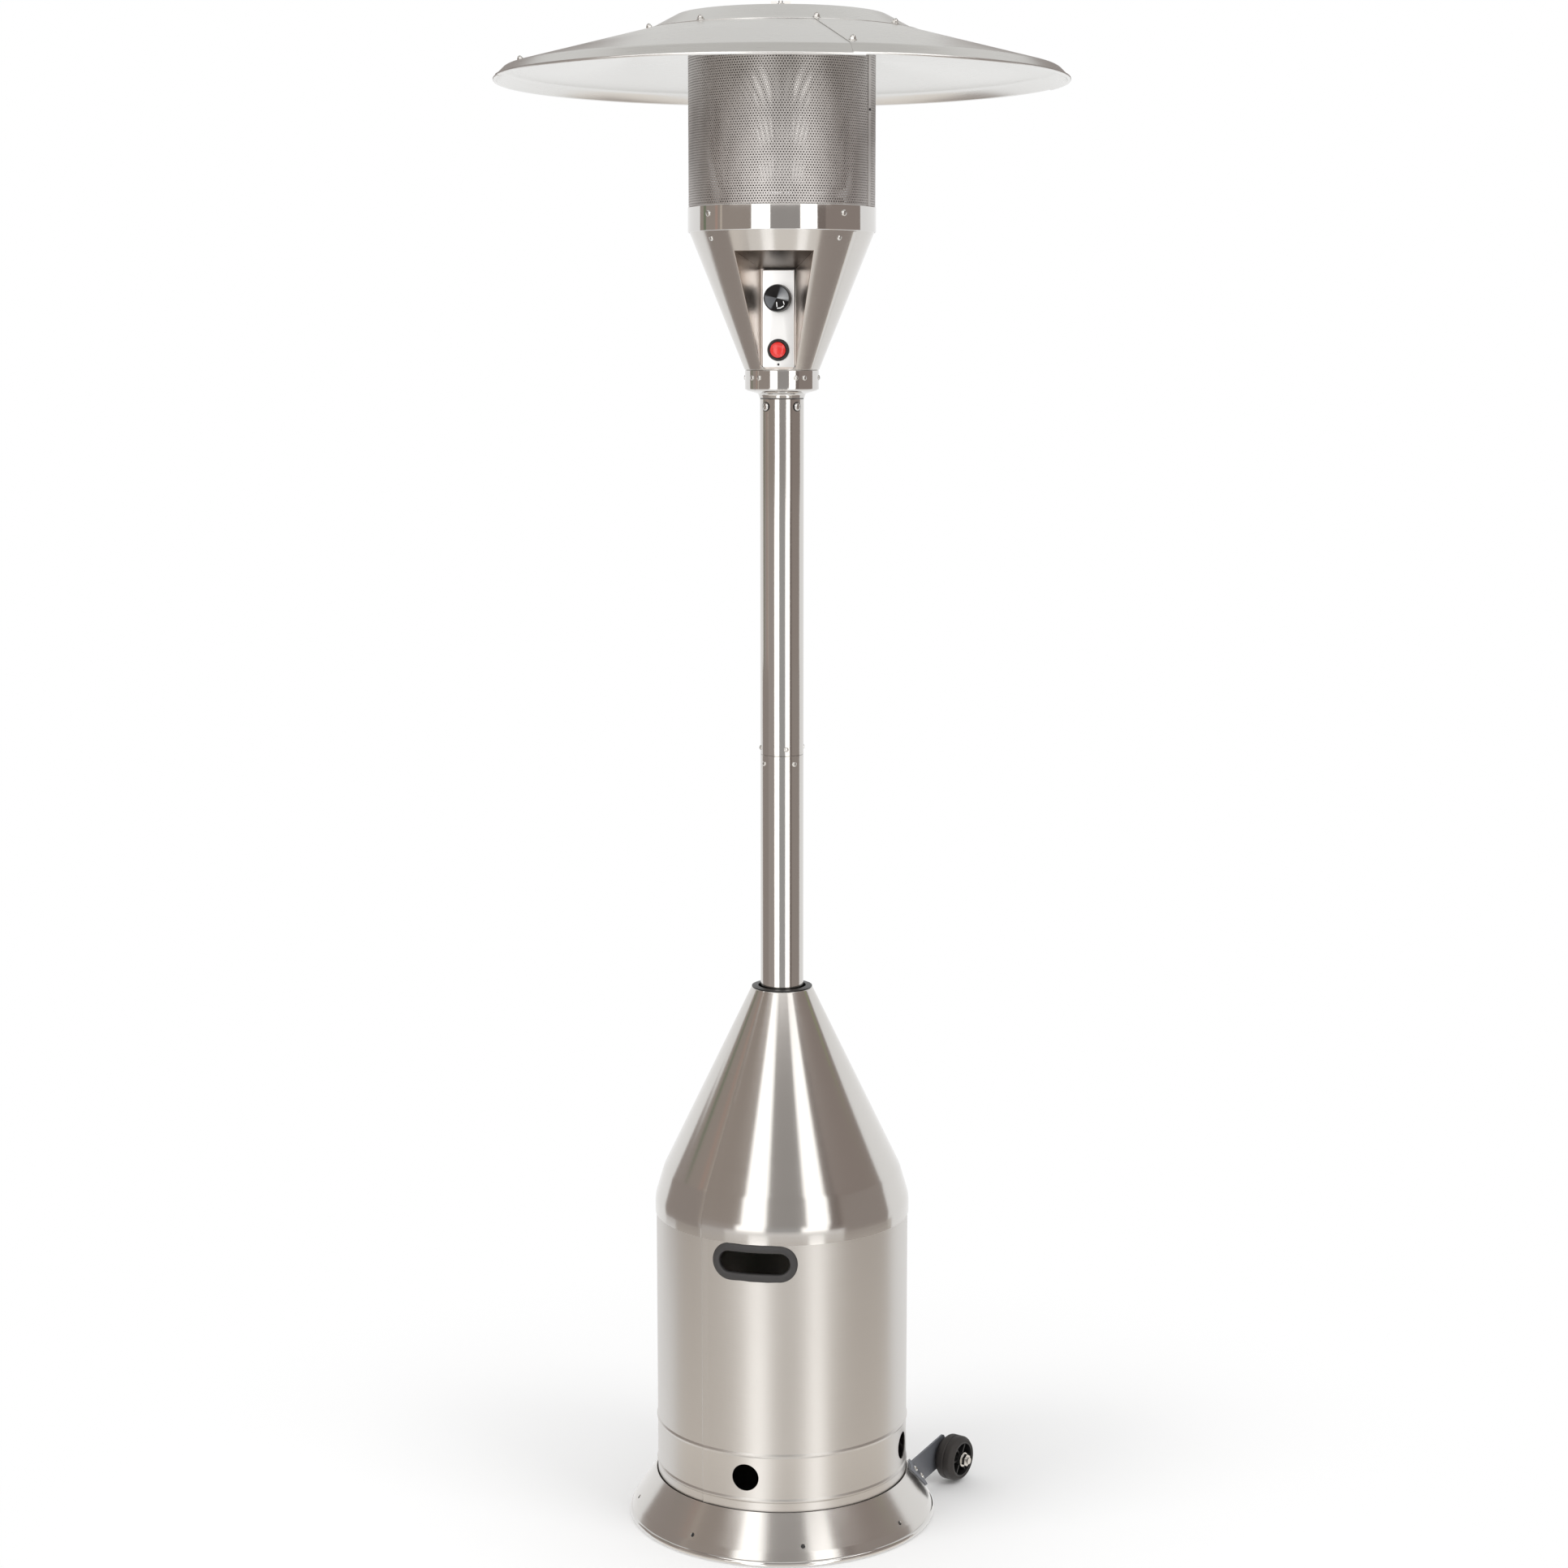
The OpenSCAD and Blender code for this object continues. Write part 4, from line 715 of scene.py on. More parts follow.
# %% Hand slot trims
TRIM_SECTION = [
    (0.0, 0.6), (0.3, 2.0), (1.6, 3.2), (4.2, 3.5), (7.6, 3.1), (10.2, 2.0), (11.4, 0.7), (11.3, 0.2),
    (3.2, 0.2), (3.2, -1.4), (8.2, -1.4), (8.3, -3.4), (6.4, -4.7), (1.6, -4.7), (0.2, -3.6)]
TRIM_WIDTH = 12
TRIM_WAVE = 0.35 * MM
TRIM_STEP = 2.0 * MM
TRIM_FOLD = 50.0


def slot_trim(name, angle):
    bm = bmesh.new()
    rows = []
    for k, (p, d) in enumerate(stadium(SLOT_W, SLOT_H, TRIM_STEP)):
        wave = TRIM_WAVE * math.sin(0.37 * k) * math.sin(0.11 * k + 1.0)
        row = []
        for w, out in TRIM_SECTION:
            q = p + d * (w * MM + wave * w / TRIM_WIDTH)
            at = polar(can_r + out * MM, angle + math.degrees(q.x / can_r), slot_z + q.y)
            row.append(bm.verts.new(at))
        rows.append(row)
    for k, row in enumerate(rows):
        stitch(bm, row, rows[(k + 1) % len(rows)])
    return shell(name, bm, TRIM_FOLD)


for side, turn in (("front", 0), ("rear", 180)):
    trim = slot_trim(f"hand_trim_moulding_{side}", SLOT_PHASE + turn)
    fit(trim, "housing", "trim_rubber", trim_rubber, f"hand_trim_{side}")

# %% [markdown]
# The post is two lengths of tube. Where they meet, both edges are broken slightly, so the joint reads as
# one fine dark line.

# %% Post tubes
POST_WALL = 1.5 * MM
EDGE_BREAK = 0.4 * MM
NECK_GAP = 1.3 * MM


def tube_outline(radius, wall, low, high):
    return soft([
        (radius - wall, low, 0), (radius - EDGE_BREAK, low, 0), (radius, low + EDGE_BREAK, 0),
        (radius, high - EDGE_BREAK, 0), (radius - EDGE_BREAK, high, 0), (radius - wall, high, 0)])


post_r = reach("upper_post")
neck_joint = top("upper_post")
for name, high in (("lower_post", top("lower_post")), ("upper_post", neck_joint - NECK_GAP)):
    outline = tube_outline(post_r, POST_WALL, foot(name), high)
    fit(turned(name + "_tube", outline), "stand", "stainless_steel", post_steel, name)

# %% [markdown]
# A spun neck widens from the post to a collar, and the head cone opens from the collar to a polished band.
# A thin dark ring in the gap between post and neck is painted shade. The edges of collar and band are
# turned over slightly, so that they catch a line of light.

# %% Neck and the painted shade in its gap
NECK_WALL = 1.5 * MM
NECK_LIP = 0.8 * MM
NECK_SWELL = 2.0 * MM
SHADE_RING_IN = 0.3 * MM

neck_foot = foot("neck_flange")
collar_foot = foot("head_collar")
collar_top = top("head_collar")
cup_r = reach("neck_flange")
plug_r = post_r - POST_WALL - FIT
neck_outline = sheet(soft([
    (plug_r, neck_foot, 0), (plug_r, neck_joint, 0), (post_r + NECK_LIP, neck_joint, 0.4 * MM),
    (post_r + NECK_SWELL, (neck_joint + collar_foot) / 2, 5 * MM),
    (cup_r, collar_foot - 1.0 * MM, 4 * MM), (cup_r, collar_top - 2 * MM, 0)]), NECK_WALL)
fit(turned("neck_flange_spinning", neck_outline), "stand", "polished_steel", mirror_steel, "neck_flange")
# A dark ring in the rubber's colour, set into the gap, is painted shade.
shade_ring_outline = soft([
    (post_r - POST_WALL, neck_joint - NECK_GAP, 0), (post_r - SHADE_RING_IN, neck_joint - NECK_GAP, 0),
    (post_r - SHADE_RING_IN, neck_joint, 0), (post_r - POST_WALL, neck_joint, 0)])
fit(turned("neck_seal", shade_ring_outline), "stand", "black_plastic", trim_rubber)

# %% Collar and band
BAND_LIP = 0.8 * MM
BAND_LIFT = 0.4 * MM

collar_r = reach("head_collar")
band_r = reach("head_band")
band_foot = foot("head_band")
band_top = top("head_band")


def band_outline(radius, low, high):
    return sheet(soft([
        (radius - BAND_LIP, low, 0), (radius, low + BAND_LIP, BAND_LIP),
        (radius, high - BAND_LIP, BAND_LIP), (radius - BAND_LIP, high, 0)]), SHEET)


collar = turned("head_collar_band", band_outline(collar_r, collar_foot, collar_top))
fit(collar, "stand", "polished_steel", mirror_steel, "head_collar")
band = turned("head_band_polished", band_outline(band_r, band_foot + BAND_LIFT, band_top))
fit(band, "stand", "polished_steel", mirror_steel, "head_band")

# %% [markdown]
# The front of the head cone is cut away for a recess that holds the controls. One sheet is folded into its
# side walls, which spread towards the front, and another one is its roof. A wall ends where its straight
# line crosses the circle of the cone, which is worked out row by row.

# %% Head cone
HEAD_TOP_R = 131 * MM
HEAD_FOOT_R = 53.5 * MM
TONGUE_DOWN = 14 * MM
TONGUE_IN = 4 * MM
PANEL_Y = 49 * MM
POCKET_HALF = 25 * MM
RECESS_REACH = 200 * MM
RECESS_SPREAD = math.tan(math.radians(28.0))
RECESS_TOP = 1872.5 * MM

head_foot = collar_top + FIT
head_top = band_foot
emitter_r = reach("emitter_screen")
recess_foot = foot("control_recess")
tongue_r = cup_r - TONGUE_IN


def head_r(z):
    return HEAD_FOOT_R + (HEAD_TOP_R - HEAD_FOOT_R) * (z - head_foot) / (head_top - head_foot)


def recess_cutter():
    """The wedge that the recess takes out of the front of the cone."""
    bm = bmesh.new()
    for y in (-PANEL_Y, -RECESS_REACH):
        half = POCKET_HALF + (-y - PANEL_Y) * RECESS_SPREAD
        for z in (recess_foot, RECESS_TOP):
            bm.verts.new((-half, y, z))
            bm.verts.new((half, y, z))
    bmesh.ops.convex_hull(bm, input=bm.verts)
    return shell("recess", bm)


head_outline = sheet(soft([
    (tongue_r, head_foot - TONGUE_DOWN, 0), (tongue_r, head_foot, 0), (HEAD_FOOT_R, head_foot, 1.2 * MM),
    (HEAD_TOP_R, head_top, 1 * MM), (emitter_r, head_top + 3 * MM, 1 * MM),
    (emitter_r, top("head_cone"), 0)]))
head = cut(turned("head_cone_skin", head_outline), recess_cutter())
even_skin(head, head_outline)
fit(head, "stand", "stainless_steel", cone_steel, "head_cone")

# %% Folded sheet and holes
RECESS_WALL = 0.8 * MM
HOLE_ROOM = 1.5 * MM
HOLE_DEEP = 40 * MM


def folded_sheet(name, rows):
    """A thin sheet through rows of points."""
    bm = bmesh.new()
    grid = [[bm.verts.new(p) for p in row] for row in rows]
    for low, high in zip(grid, grid[1:]):
        stitch(bm, low, high, closed=False)
    bmesh.ops.recalc_face_normals(bm, faces=bm.faces)
    bmesh.ops.solidify(bm, geom=bm.faces, thickness=RECESS_WALL)
    return shell(name, bm)


def control_holes():
    """Rods for the holes that the igniter and the knob's spindle pass through."""
    holes = []
    for node in ("igniter_button", "valve_plunger"):
        radius = (top(node) - foot(node)) / 2 + HOLE_ROOM
        holes.append(rod("hole", radius, HOLE_DEEP, (0, -PANEL_Y, middle(node)), (0, 1, 0)))
    return holes


print("the recess is", round(RECESS_TOP - recess_foot, 3), "m high")

# %% Control recess
RECESS_ROWS = 24
POCKET_UP = 2 * MM

pocket_top = top("control_plate") + POCKET_UP
pocket_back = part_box("control_plate")[1].y + FIT
shares = [k / RECESS_ROWS for k in range(RECESS_ROWS + 1)]


def wall_end(z):
    """Where the right-hand wall of the recess meets the cone at a height."""
    a = 1 + RECESS_SPREAD**2
    b = POCKET_HALF * RECESS_SPREAD + PANEL_Y
    c = POCKET_HALF**2 + PANEL_Y**2 - head_r(z) ** 2
    out = max(0.0, (math.sqrt(max(0.0, b * b - a * c)) - b) / a)
    return POCKET_HALF + out * RECESS_SPREAD, -PANEL_Y - out


def recess_walls():
    rows = []
    for share in shares:
        inner = recess_foot + (pocket_top - recess_foot) * share
        outer = recess_foot + (RECESS_TOP - recess_foot) * share
        x, y = wall_end(outer)
        half = [(POCKET_HALF, pocket_back, inner), (POCKET_HALF, -PANEL_Y, inner), (x, y, outer)]
        rows.append([(-a, b, c) for a, b, c in half[::-1]] + half)
    return folded_sheet("control_recess_walls", rows)


def recess_roof():
    x, y = wall_end(RECESS_TOP)
    spread = math.degrees(math.atan2(x, -y))
    across = [share * 2 - 1 for share in shares]
    return folded_sheet("control_recess_roof", [
        [(POCKET_HALF * u, pocket_back, pocket_top) for u in across],
        [(POCKET_HALF * u, -PANEL_Y, pocket_top) for u in across],
        [polar(head_r(RECESS_TOP), spread * u, RECESS_TOP) for u in across]])


fit(cut(recess_walls(), *control_holes()), "stand", "stainless_steel", recess_steel, "control_recess")
# The roof sheet carries the painted shade of the recess.
fit(recess_roof(), "stand", "stainless_steel", roof_painted_shade_steel)

# %% Seam of the head cone
HEAD_SEAM = 55.0
HEAD_SEAM_SWEEP = 4.0

head_seam_path = soft([
    (HEAD_FOOT_R + 1.2 * MM, head_foot + 1.5 * MM, 0), (HEAD_TOP_R + SEAM_STEP, head_top - 1 * MM, 0)])
head_seam = lap_seam("head_cone_seam", head_seam_path, HEAD_SEAM, HEAD_SEAM_SWEEP)
fit(head_seam, "stand", "stainless_steel", cone_steel)

# %% [markdown]
# The control plate is a small folded tray in the pocket of the recess, with a drain hole at its foot. A
# dark sheet behind it, cut a little askew, is painted shade: it shows at the upper right as the shadow in
# the gap.

# %% Control plate
PLATE_FOLD = 1.8 * MM
DRAIN_R = 1.7 * MM
DRAIN_UP = 3.6 * MM
DRAIN_DEEP = 12 * MM
SHADOW_SHEET_WALL = 1.0 * MM
SHADOW_SHEET_OUT = 1.5 * MM
SHADOW_SHEET_TAPER = 2.8 * MM
SHADOW_SHEET_EDGE = 0.2 * MM

plate_low, plate_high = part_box("control_plate")


def folded_tray():
    bm = bmesh.new()
    centre = (plate_high + plate_low) / 2
    block(bm, centre, plate_high - plate_low)
    front = [
        e for e in bm.edges
        if all(v.co.y < centre.y for v in e.verts) and any(v.co.z > centre.z for v in e.verts)]
    bmesh.ops.bevel(bm, geom=front, offset=PLATE_FOLD, segments=6, profile=0.5, affect="EDGES")
    return shell("control_plate_tray", bm)


# A dark sheet behind the plate that stands for painted shade in the gap round it.
def shadow_sheet():
    bm = bmesh.new()
    low = Vector((plate_low.x + 2 * MM, plate_high.y - FIT - SHADOW_SHEET_WALL, plate_low.z + 1 * MM))
    high = Vector((plate_high.x + SHADOW_SHEET_OUT, plate_high.y - FIT, plate_high.z + SHADOW_SHEET_OUT))
    centre = (low + high) / 2
    block(bm, centre, high - low)
    for v in bm.verts:
        if v.co.x > 0 and v.co.z < centre.z:
            v.co.x -= SHADOW_SHEET_TAPER
    bmesh.ops.bevel(bm, geom=bm.edges, offset=SHADOW_SHEET_EDGE, segments=2, affect="EDGES")
    return shell("control_plate_gasket", bm)


drain = rod("drain", DRAIN_R, DRAIN_DEEP, (0, plate_low.y, plate_low.z + DRAIN_UP), (0, 1, 0), 20)
fit(cut(folded_tray(), drain, *control_holes()), "stand", "polished_steel", plate_steel, "control_plate")
# The dark sheet is painted shade.
fit(cut(shadow_sheet(), *control_holes()), "stand", "black_plastic", dark_paint_and_shade)

# %% [markdown]
# The knob is moulded in black plastic, with shallow flutes for the fingers and a dish for its metal face.
# It is turned about Z like the other shells, with a ripple in its radius, and then laid over to the front.

# %% Knob
KNOB_RIM = 2.2 * MM
KNOB_SKIN = 1.5 * MM
KNOB_FLUTES = 24
FLUTE_DEPTH = 0.5 * MM
FLUTE_EDGE = 1.2 * MM
FLUTE_FROM = 0.28
FLUTE_TO = 0.8

knob_low, knob_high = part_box("control_knob")
knob_z = middle("control_knob")
knob_r = (knob_high.z - knob_low.z) / 2
knob_l = knob_high.y - knob_low.y
dish_r = knob_r - KNOB_RIM
dish_floor = knob_l - KNOB_SKIN


def facing_front(made, y, z):
    """Turns a piece that was made about Z so that its top faces the front."""
    made.data.transform(Matrix.Translation((0, y, z)) @ Matrix.Rotation(math.radians(90), 4, "X"))
    return made


def flutes(angle, r, z):
    inside = FLUTE_FROM * knob_l < z < FLUTE_TO * knob_l and r > knob_r - FLUTE_EDGE
    return -FLUTE_DEPTH * (0.5 + 0.5 * math.cos(math.radians(angle * KNOB_FLUTES))) if inside else 0.0


knob_outline = soft([
    (0, 0, 0), (knob_r, 0, 0.8 * MM), (knob_r, knob_l * 0.25, 0.5 * MM),
    (knob_r - 0.3 * MM, knob_l * 0.4, 0), (knob_r - 0.6 * MM, knob_l * 0.7, 0),
    (knob_r - 1 * MM, knob_l, 0.8 * MM), (dish_r + 0.3 * MM, knob_l, 0.2 * MM),
    (dish_r, dish_floor, 0), (0, dish_floor, 0)])
knob = facing_front(turned("knob_body", knob_outline, ripple=flutes), knob_high.y, knob_z)
fit(knob, "knob", "black_plastic", black_plastic, "control_knob")

# %% [markdown]
# The knob's face is turned on a lathe. The bright and dark wedges that it mirrors from the studio, which
# meet in its middle, are painted into its colour as a painted reflection. The wedges follow the angle about
# the knob's axis, and fine rings follow the distance from it. A few white strokes are printed on it.

# %% Knob face
# Colours of the painted reflection: the wedges of the studio that the spun face would mirror.
DARK_REFLECTION_WEDGE = (0.020, 0.019, 0.019)
GREY_REFLECTION_WEDGE = (0.13, 0.135, 0.145)
LIGHT_REFLECTION_WEDGE = (0.40, 0.41, 0.42)
PAINTED_REFLECTION_WEDGES = [
    (0.0, DARK_REFLECTION_WEDGE), (0.065, DARK_REFLECTION_WEDGE), (0.09, GREY_REFLECTION_WEDGE), (0.27, GREY_REFLECTION_WEDGE), (0.30, DARK_REFLECTION_WEDGE),
    (0.54, DARK_REFLECTION_WEDGE), (0.58, GREY_REFLECTION_WEDGE), (0.76, LIGHT_REFLECTION_WEDGE), (0.80, DARK_REFLECTION_WEDGE), (1.0, DARK_REFLECTION_WEDGE)]
LATHE_RINGS = 9000.0


def painted_reflection_face(tree):
    at = Term.of(tree, "ShaderNodeMapping", inputs={"Vector": place(tree), "Location": (0.0, 0.0, -knob_z)})
    x = Term.of(tree, "ShaderNodeSeparateXYZ", inputs={0: at}, output="X")
    z = x.beside("Z")
    turn = x.maths("ARCTAN2", z) / (2 * math.pi) + 0.5
    rings = ((x * x + z * z).maths("SQRT") * LATHE_RINGS).maths("SINE")
    return {
        "Base Color": Term.of(tree, "ShaderNodeValToRGB", {"stops": PAINTED_REFLECTION_WEDGES}, {"Fac": turn}),
        "Roughness": 0.26 + rings * 0.05,
        "Normal": bumped(tree, rings, 0.00001),
    }


# Spun metal with its reflected wedges painted into the base colour.
face_steel_with_painted_reflections = finish("knob_face_painted_reflections", {"Metallic": 1.0}, painted_reflection_face)
face_y = knob_low.y + KNOB_SKIN
face_r = dish_r - FIT
face_outline = soft([
    (0, 0, 0), (face_r, 0, 0), (face_r, 1.1 * MM, 0.3 * MM), (1.5 * MM, 1.3 * MM, 0), (0, 1.1 * MM, 0)])
knob_face = facing_front(turned("knob_face_disc", face_outline), face_y, knob_z)
fit(knob_face, "knob", "knob_metal", face_steel_with_painted_reflections, "knob_face")

# %% Strokes on the knob's face
POINTER_ANGLE = 147.0
POINTER_LIFT = 1.25 * MM
STROKE_WALL = 0.12 * MM
STROKE_EDGE = 0.03 * MM
STROKES = [
    (-5.4, 9.0, -4.0, 13.4, 1.1), (3.0, 4.6, 6.2, 10.6, 1.2),
    (-2.6, 14.6, 3.4, 14.4, 1.3), (3.2, 14.4, 7.0, 12.4, 1.3)]


def pointer_stroke(x0, y0, x1, y1, wide):
    """A thin stroke from one point to another, given in millimetres with the pointer upwards."""
    bm = bmesh.new()
    a, b = Vector((x0, y0, 0)) * MM, Vector((x1, y1, 0)) * MM
    turn = Matrix.Rotation(math.atan2(y1 - y0, x1 - x0), 4, "Z")
    block(bm, (a + b) / 2, ((b - a).length, wide * MM, STROKE_WALL), turn)
    bmesh.ops.bevel(bm, geom=bm.edges, offset=STROKE_EDGE, segments=1, affect="EDGES")
    return shell("stroke", bm)


pointer = merged("knob_pointer", *[pointer_stroke(*stroke) for stroke in STROKES])
pointer.data.transform(Matrix.Rotation(math.radians(-POINTER_ANGLE), 4, "Z"))
facing_front(pointer, face_y - POINTER_LIFT, knob_z)
fit(pointer, "knob", "knob_metal", pointer_white)

# %% [markdown]
# Below the knob a red button in a black bezel strikes the spark. The button slides inside the bezel, so it
# is a piece of its own with a little room round it. Both are turned, and face the front like the knob.

# %% Igniter
BUTTON_ROOM = 0.1 * MM
BUTTON_STEM = 4 * MM
BEZEL_STEM = 8 * MM
BEZEL_WALL = 1.4 * MM

plate_face = plate_low.y
igniter_z = middle("igniter_body")
bezel_r = (top("igniter_body") - foot("igniter_body")) / 2
bezel_out = plate_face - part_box("igniter_body")[0].y
button_r = (top("igniter_button") - foot("igniter_button")) / 2
button_out = plate_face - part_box("igniter_button")[0].y
bore_r = button_r + BUTTON_ROOM
stem_r = button_r + BEZEL_WALL
bezel_outline = soft([
    (bore_r, -BEZEL_STEM, 0), (stem_r, -BEZEL_STEM, 0), (stem_r, 0, 0), (bezel_r, 0, 0),
    (bezel_r, 2.5 * MM, 0.8 * MM), (bezel_r - 2.2 * MM, bezel_out, 1.6 * MM),
    (button_r + 0.8 * MM, bezel_out, 0.8 * MM), (bore_r, bezel_out - 1.5 * MM, 0)])
bezel = facing_front(turned("igniter_bezel", bezel_outline), plate_face, igniter_z)
fit(bezel, "stand", "black_plastic", black_plastic, "igniter_body")
button_outline = soft([
    (0, -BUTTON_STEM, 0), (button_r, -BUTTON_STEM, 0), (button_r, button_out - 3.4 * MM, 1.8 * MM),
    (button_r * 0.60, button_out - 0.7 * MM, 7 * MM), (0, button_out, 0)])
button = facing_front(turned("igniter_cap", button_outline), plate_face, igniter_z)
fit(button, "push_button", "red_plastic", red_plastic, "igniter_button")

# %% [markdown]
# The emitter is a tube of perforated steel: thousands of small round holes in staggered rows. A Geometry
# Nodes tree lays one six-sided cell on a grid that is wrapped round the tube. Neighbouring cells share
# their corners, so merging them makes one closed sheet. A cell has only 18 faces, because there are so
# many of them.

# %% Geometry Nodes trees
def new_tree(name, **sockets):
    """An empty Geometry Nodes tree with named inputs, and a Term for each of them."""
    tree = bpy.data.node_groups.new(name, "GeometryNodeTree")
    for key, kind in sockets.items():
        tree.interface.new_socket(key, in_out="INPUT", socket_type="NodeSocket" + kind)
    tree.interface.new_socket("Geometry", in_out="OUTPUT", socket_type="NodeSocketGeometry")
    given = Term.of(tree, "NodeGroupInput")
    return tree, {key: given.beside(key) for key in sockets}


def vector(tree, x=0.0, y=0.0, z=0.0):
    return Term.of(tree, "ShaderNodeCombineXYZ", inputs={"X": x, "Y": y, "Z": z})


def points_in_place(tree, count):
    return Term.of(tree, "GeometryNodeMeshLine", inputs={"Count": count, "Offset": (0.0, 0.0, 0.0)})


def shape_of(tree, given):
    return Term.of(tree, "GeometryNodeObjectInfo", inputs={"Object": given}, output="Geometry")


def close_tree(tree, points, shape, turn, material, weld=None):
    """Lays a shape on points, makes it real, welds it if asked, sets its finish and ends the tree."""
    laid = Term.of(tree, "GeometryNodeInstanceOnPoints", inputs={
        "Points": points, "Instance": shape, "Rotation": vector(tree, z=turn)})
    real = Term.of(tree, "GeometryNodeRealizeInstances", inputs={"Geometry": laid})
    if weld:
        real = Term.of(tree, "GeometryNodeMergeByDistance", inputs={"Geometry": real, "Distance": weld})
    dressed = Term.of(tree, "GeometryNodeSetMaterial", inputs={"Geometry": real, "Material": material})
    Term.of(tree, "NodeGroupOutput", inputs={"Geometry": dressed}, output=None)
    print(tree.name, "tree:", len(tree.nodes), "nodes")
    return tree


def grown(name, tree, **values):
    """Runs a tree with the given inputs and keeps the result as a plain mesh."""
    made = bpy.data.objects.new(name, bpy.data.meshes.new(name))
    bpy.context.scene.collection.objects.link(made)
    modifier = made.modifiers.new("nodes", "NODES")
    modifier.node_group = tree
    for item in tree.interface.items_tree:
        if item.in_out == "INPUT":
            modifier[item.identifier] = values[item.name]
    as_plain_mesh(made)
    shade(made.data)
    return made


print("a tree lays one shape on many points")

# %% Perforated emitter
COLUMNS = 208
ROWS = 67
HOLE_R = 1.12 * MM
SCREEN_WALL = 1.0 * MM
SCREEN_EDGE = 2.4 * MM
CELL_WELD = 0.02 * MM
SECTORS = 4

emitter_top = top("emitter_screen")
pitch = 2 * math.pi * emitter_r / COLUMNS
row_step = pitch * math.sqrt(3) / 2


def screen_cell():
    """One hexagon of the sheet with its hole, bent to the tube's radius."""
    bm = bmesh.new()
    corner_r = pitch / math.sqrt(3)
    rims = []
    for size, depth in ((corner_r, 0.0), (HOLE_R, 0.0), (HOLE_R, SCREEN_WALL), (corner_r, SCREEN_WALL)):
        rim = []
        for k in range(6):
            a = math.radians(60 * k)
            across = math.degrees(size * math.sin(a) / emitter_r)
            rim.append(bm.verts.new(polar(emitter_r - depth, across, size * math.cos(a))))
        rims.append(rim)
    for a, b in zip(rims, rims[1:]):
        stitch(bm, b, a)
    mesh = bpy.data.meshes.new("screen_cell")
    bm.to_mesh(mesh)
    bm.free()
    return bpy.data.objects.new("screen_cell", mesh)


def perforation_tree():
    tree, given = new_tree(
        "perforated sheet", Cell="Object", Columns="Int", Rows="Int", Step="Float", Rise="Float",
        Start="Float", Foot="Float", Finish="Material")
    index = Term.of(tree, "GeometryNodeInputIndex")
    row = (index / given["Columns"]).maths("FLOOR")
    column = index - row * given["Columns"]
    raised = Term.of(tree, "GeometryNodeSetPosition", inputs={
        "Geometry": points_in_place(tree, given["Columns"] * given["Rows"]),
        "Offset": vector(tree, z=given["Foot"] + row * given["Rise"])})
    turn = given["Start"] + (column + row % 2.0 * 0.5) * given["Step"]
    return close_tree(tree, raised, shape_of(tree, given["Cell"]), turn, given["Finish"], CELL_WELD)


screen_tree = perforation_tree()
cell = screen_cell()
for i in range(SECTORS):
    sector = grown(
        f"emitter_sector_{i + 1}", screen_tree, Cell=cell, Columns=COLUMNS // SECTORS, Rows=ROWS,
        Step=2 * math.pi / COLUMNS, Rise=row_step, Start=2 * math.pi * i / SECTORS,
        Foot=emitter_top - SCREEN_EDGE - (ROWS - 1) * row_step, Finish=screen_steel)
    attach(sector, "stand")
    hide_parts("emitter_screen")
    print(sector.name, len(sector.data.polygons), "faces")
bpy.data.objects.remove(cell)

# %% [markdown]
# A lid with a short rim closes the emitter, and a polished cone hangs below it. The screen is rolled from
# one sheet: a strip with two rivets holds it together, and a plain edge runs round its top.

# %% Emitter lid and flame cone
LID_WALL = 1.5 * MM
LID_RIM = 6 * MM
LID_ROOM = 1.3 * MM
FLAME_CONE_R = 90 * MM

lid_top = top("emitter_lid")
lid_r = emitter_r - LID_ROOM
rim_outline = sheet(soft([
    (0, lid_top, 0), (lid_r, lid_top, 1 * MM), (lid_r, lid_top - LID_RIM, 0)]), -LID_WALL)
flame_outline = sheet(soft([
    (FLAME_CONE_R, foot("emitter_lid"), 0), (emitter_r - 4 * MM, lid_top - LID_WALL, 0)]), SHEET)
lid = turned("emitter_lid_and_cone", rim_outline, flame_outline)
fit(lid, "stand", "emitter_steel", mirror_steel, "emitter_lid")

# %% Seam and edge of the emitter
STRIP_ANGLE = 71.0
STRIP_SWEEP = 4.0
STRIP_OUT = 0.8 * MM
STRIP_WALL = 0.7 * MM
STRIP_DOWN = 4 * MM
RIVET_R = 1.8 * MM
RIVET_LENGTH = 2.2 * MM
RIVETS_DOWN = (16 * MM, 92 * MM)
EDGE_H = 2.6 * MM

strip_r = emitter_r + STRIP_OUT
strip_outline = tube_outline(strip_r, STRIP_WALL, band_top - STRIP_DOWN, emitter_top)
strip = turned("emitter_seam_strip", strip_outline, start=STRIP_ANGLE, sweep=STRIP_SWEEP)
fit(strip, "stand", "emitter_steel", screen_steel)
rivet_angle = STRIP_ANGLE + STRIP_SWEEP / 2
outward = polar(1.0, rivet_angle)
rivets = [
    rod("rivet", RIVET_R, RIVET_LENGTH, polar(strip_r, rivet_angle, lid_top - down), outward, 20)
    for down in RIVETS_DOWN]
fit(merged("emitter_seam_rivets", *rivets), "stand", "emitter_steel", dark_paint_and_shade)
edge_outline = tube_outline(emitter_r + FIT, SHEET, emitter_top - EDGE_H, emitter_top)
fit(turned("emitter_top_edge", edge_outline), "stand", "emitter_steel", screen_steel)

# %% [markdown]
# The reflector is four quarter panels of spun aluminium. Each laps over its neighbour and is bolted to it,
# and its rim is rolled round a wire. A panel is a turned quarter that sinks a little along its sweep, so
# that its end lies under the start of the next one.

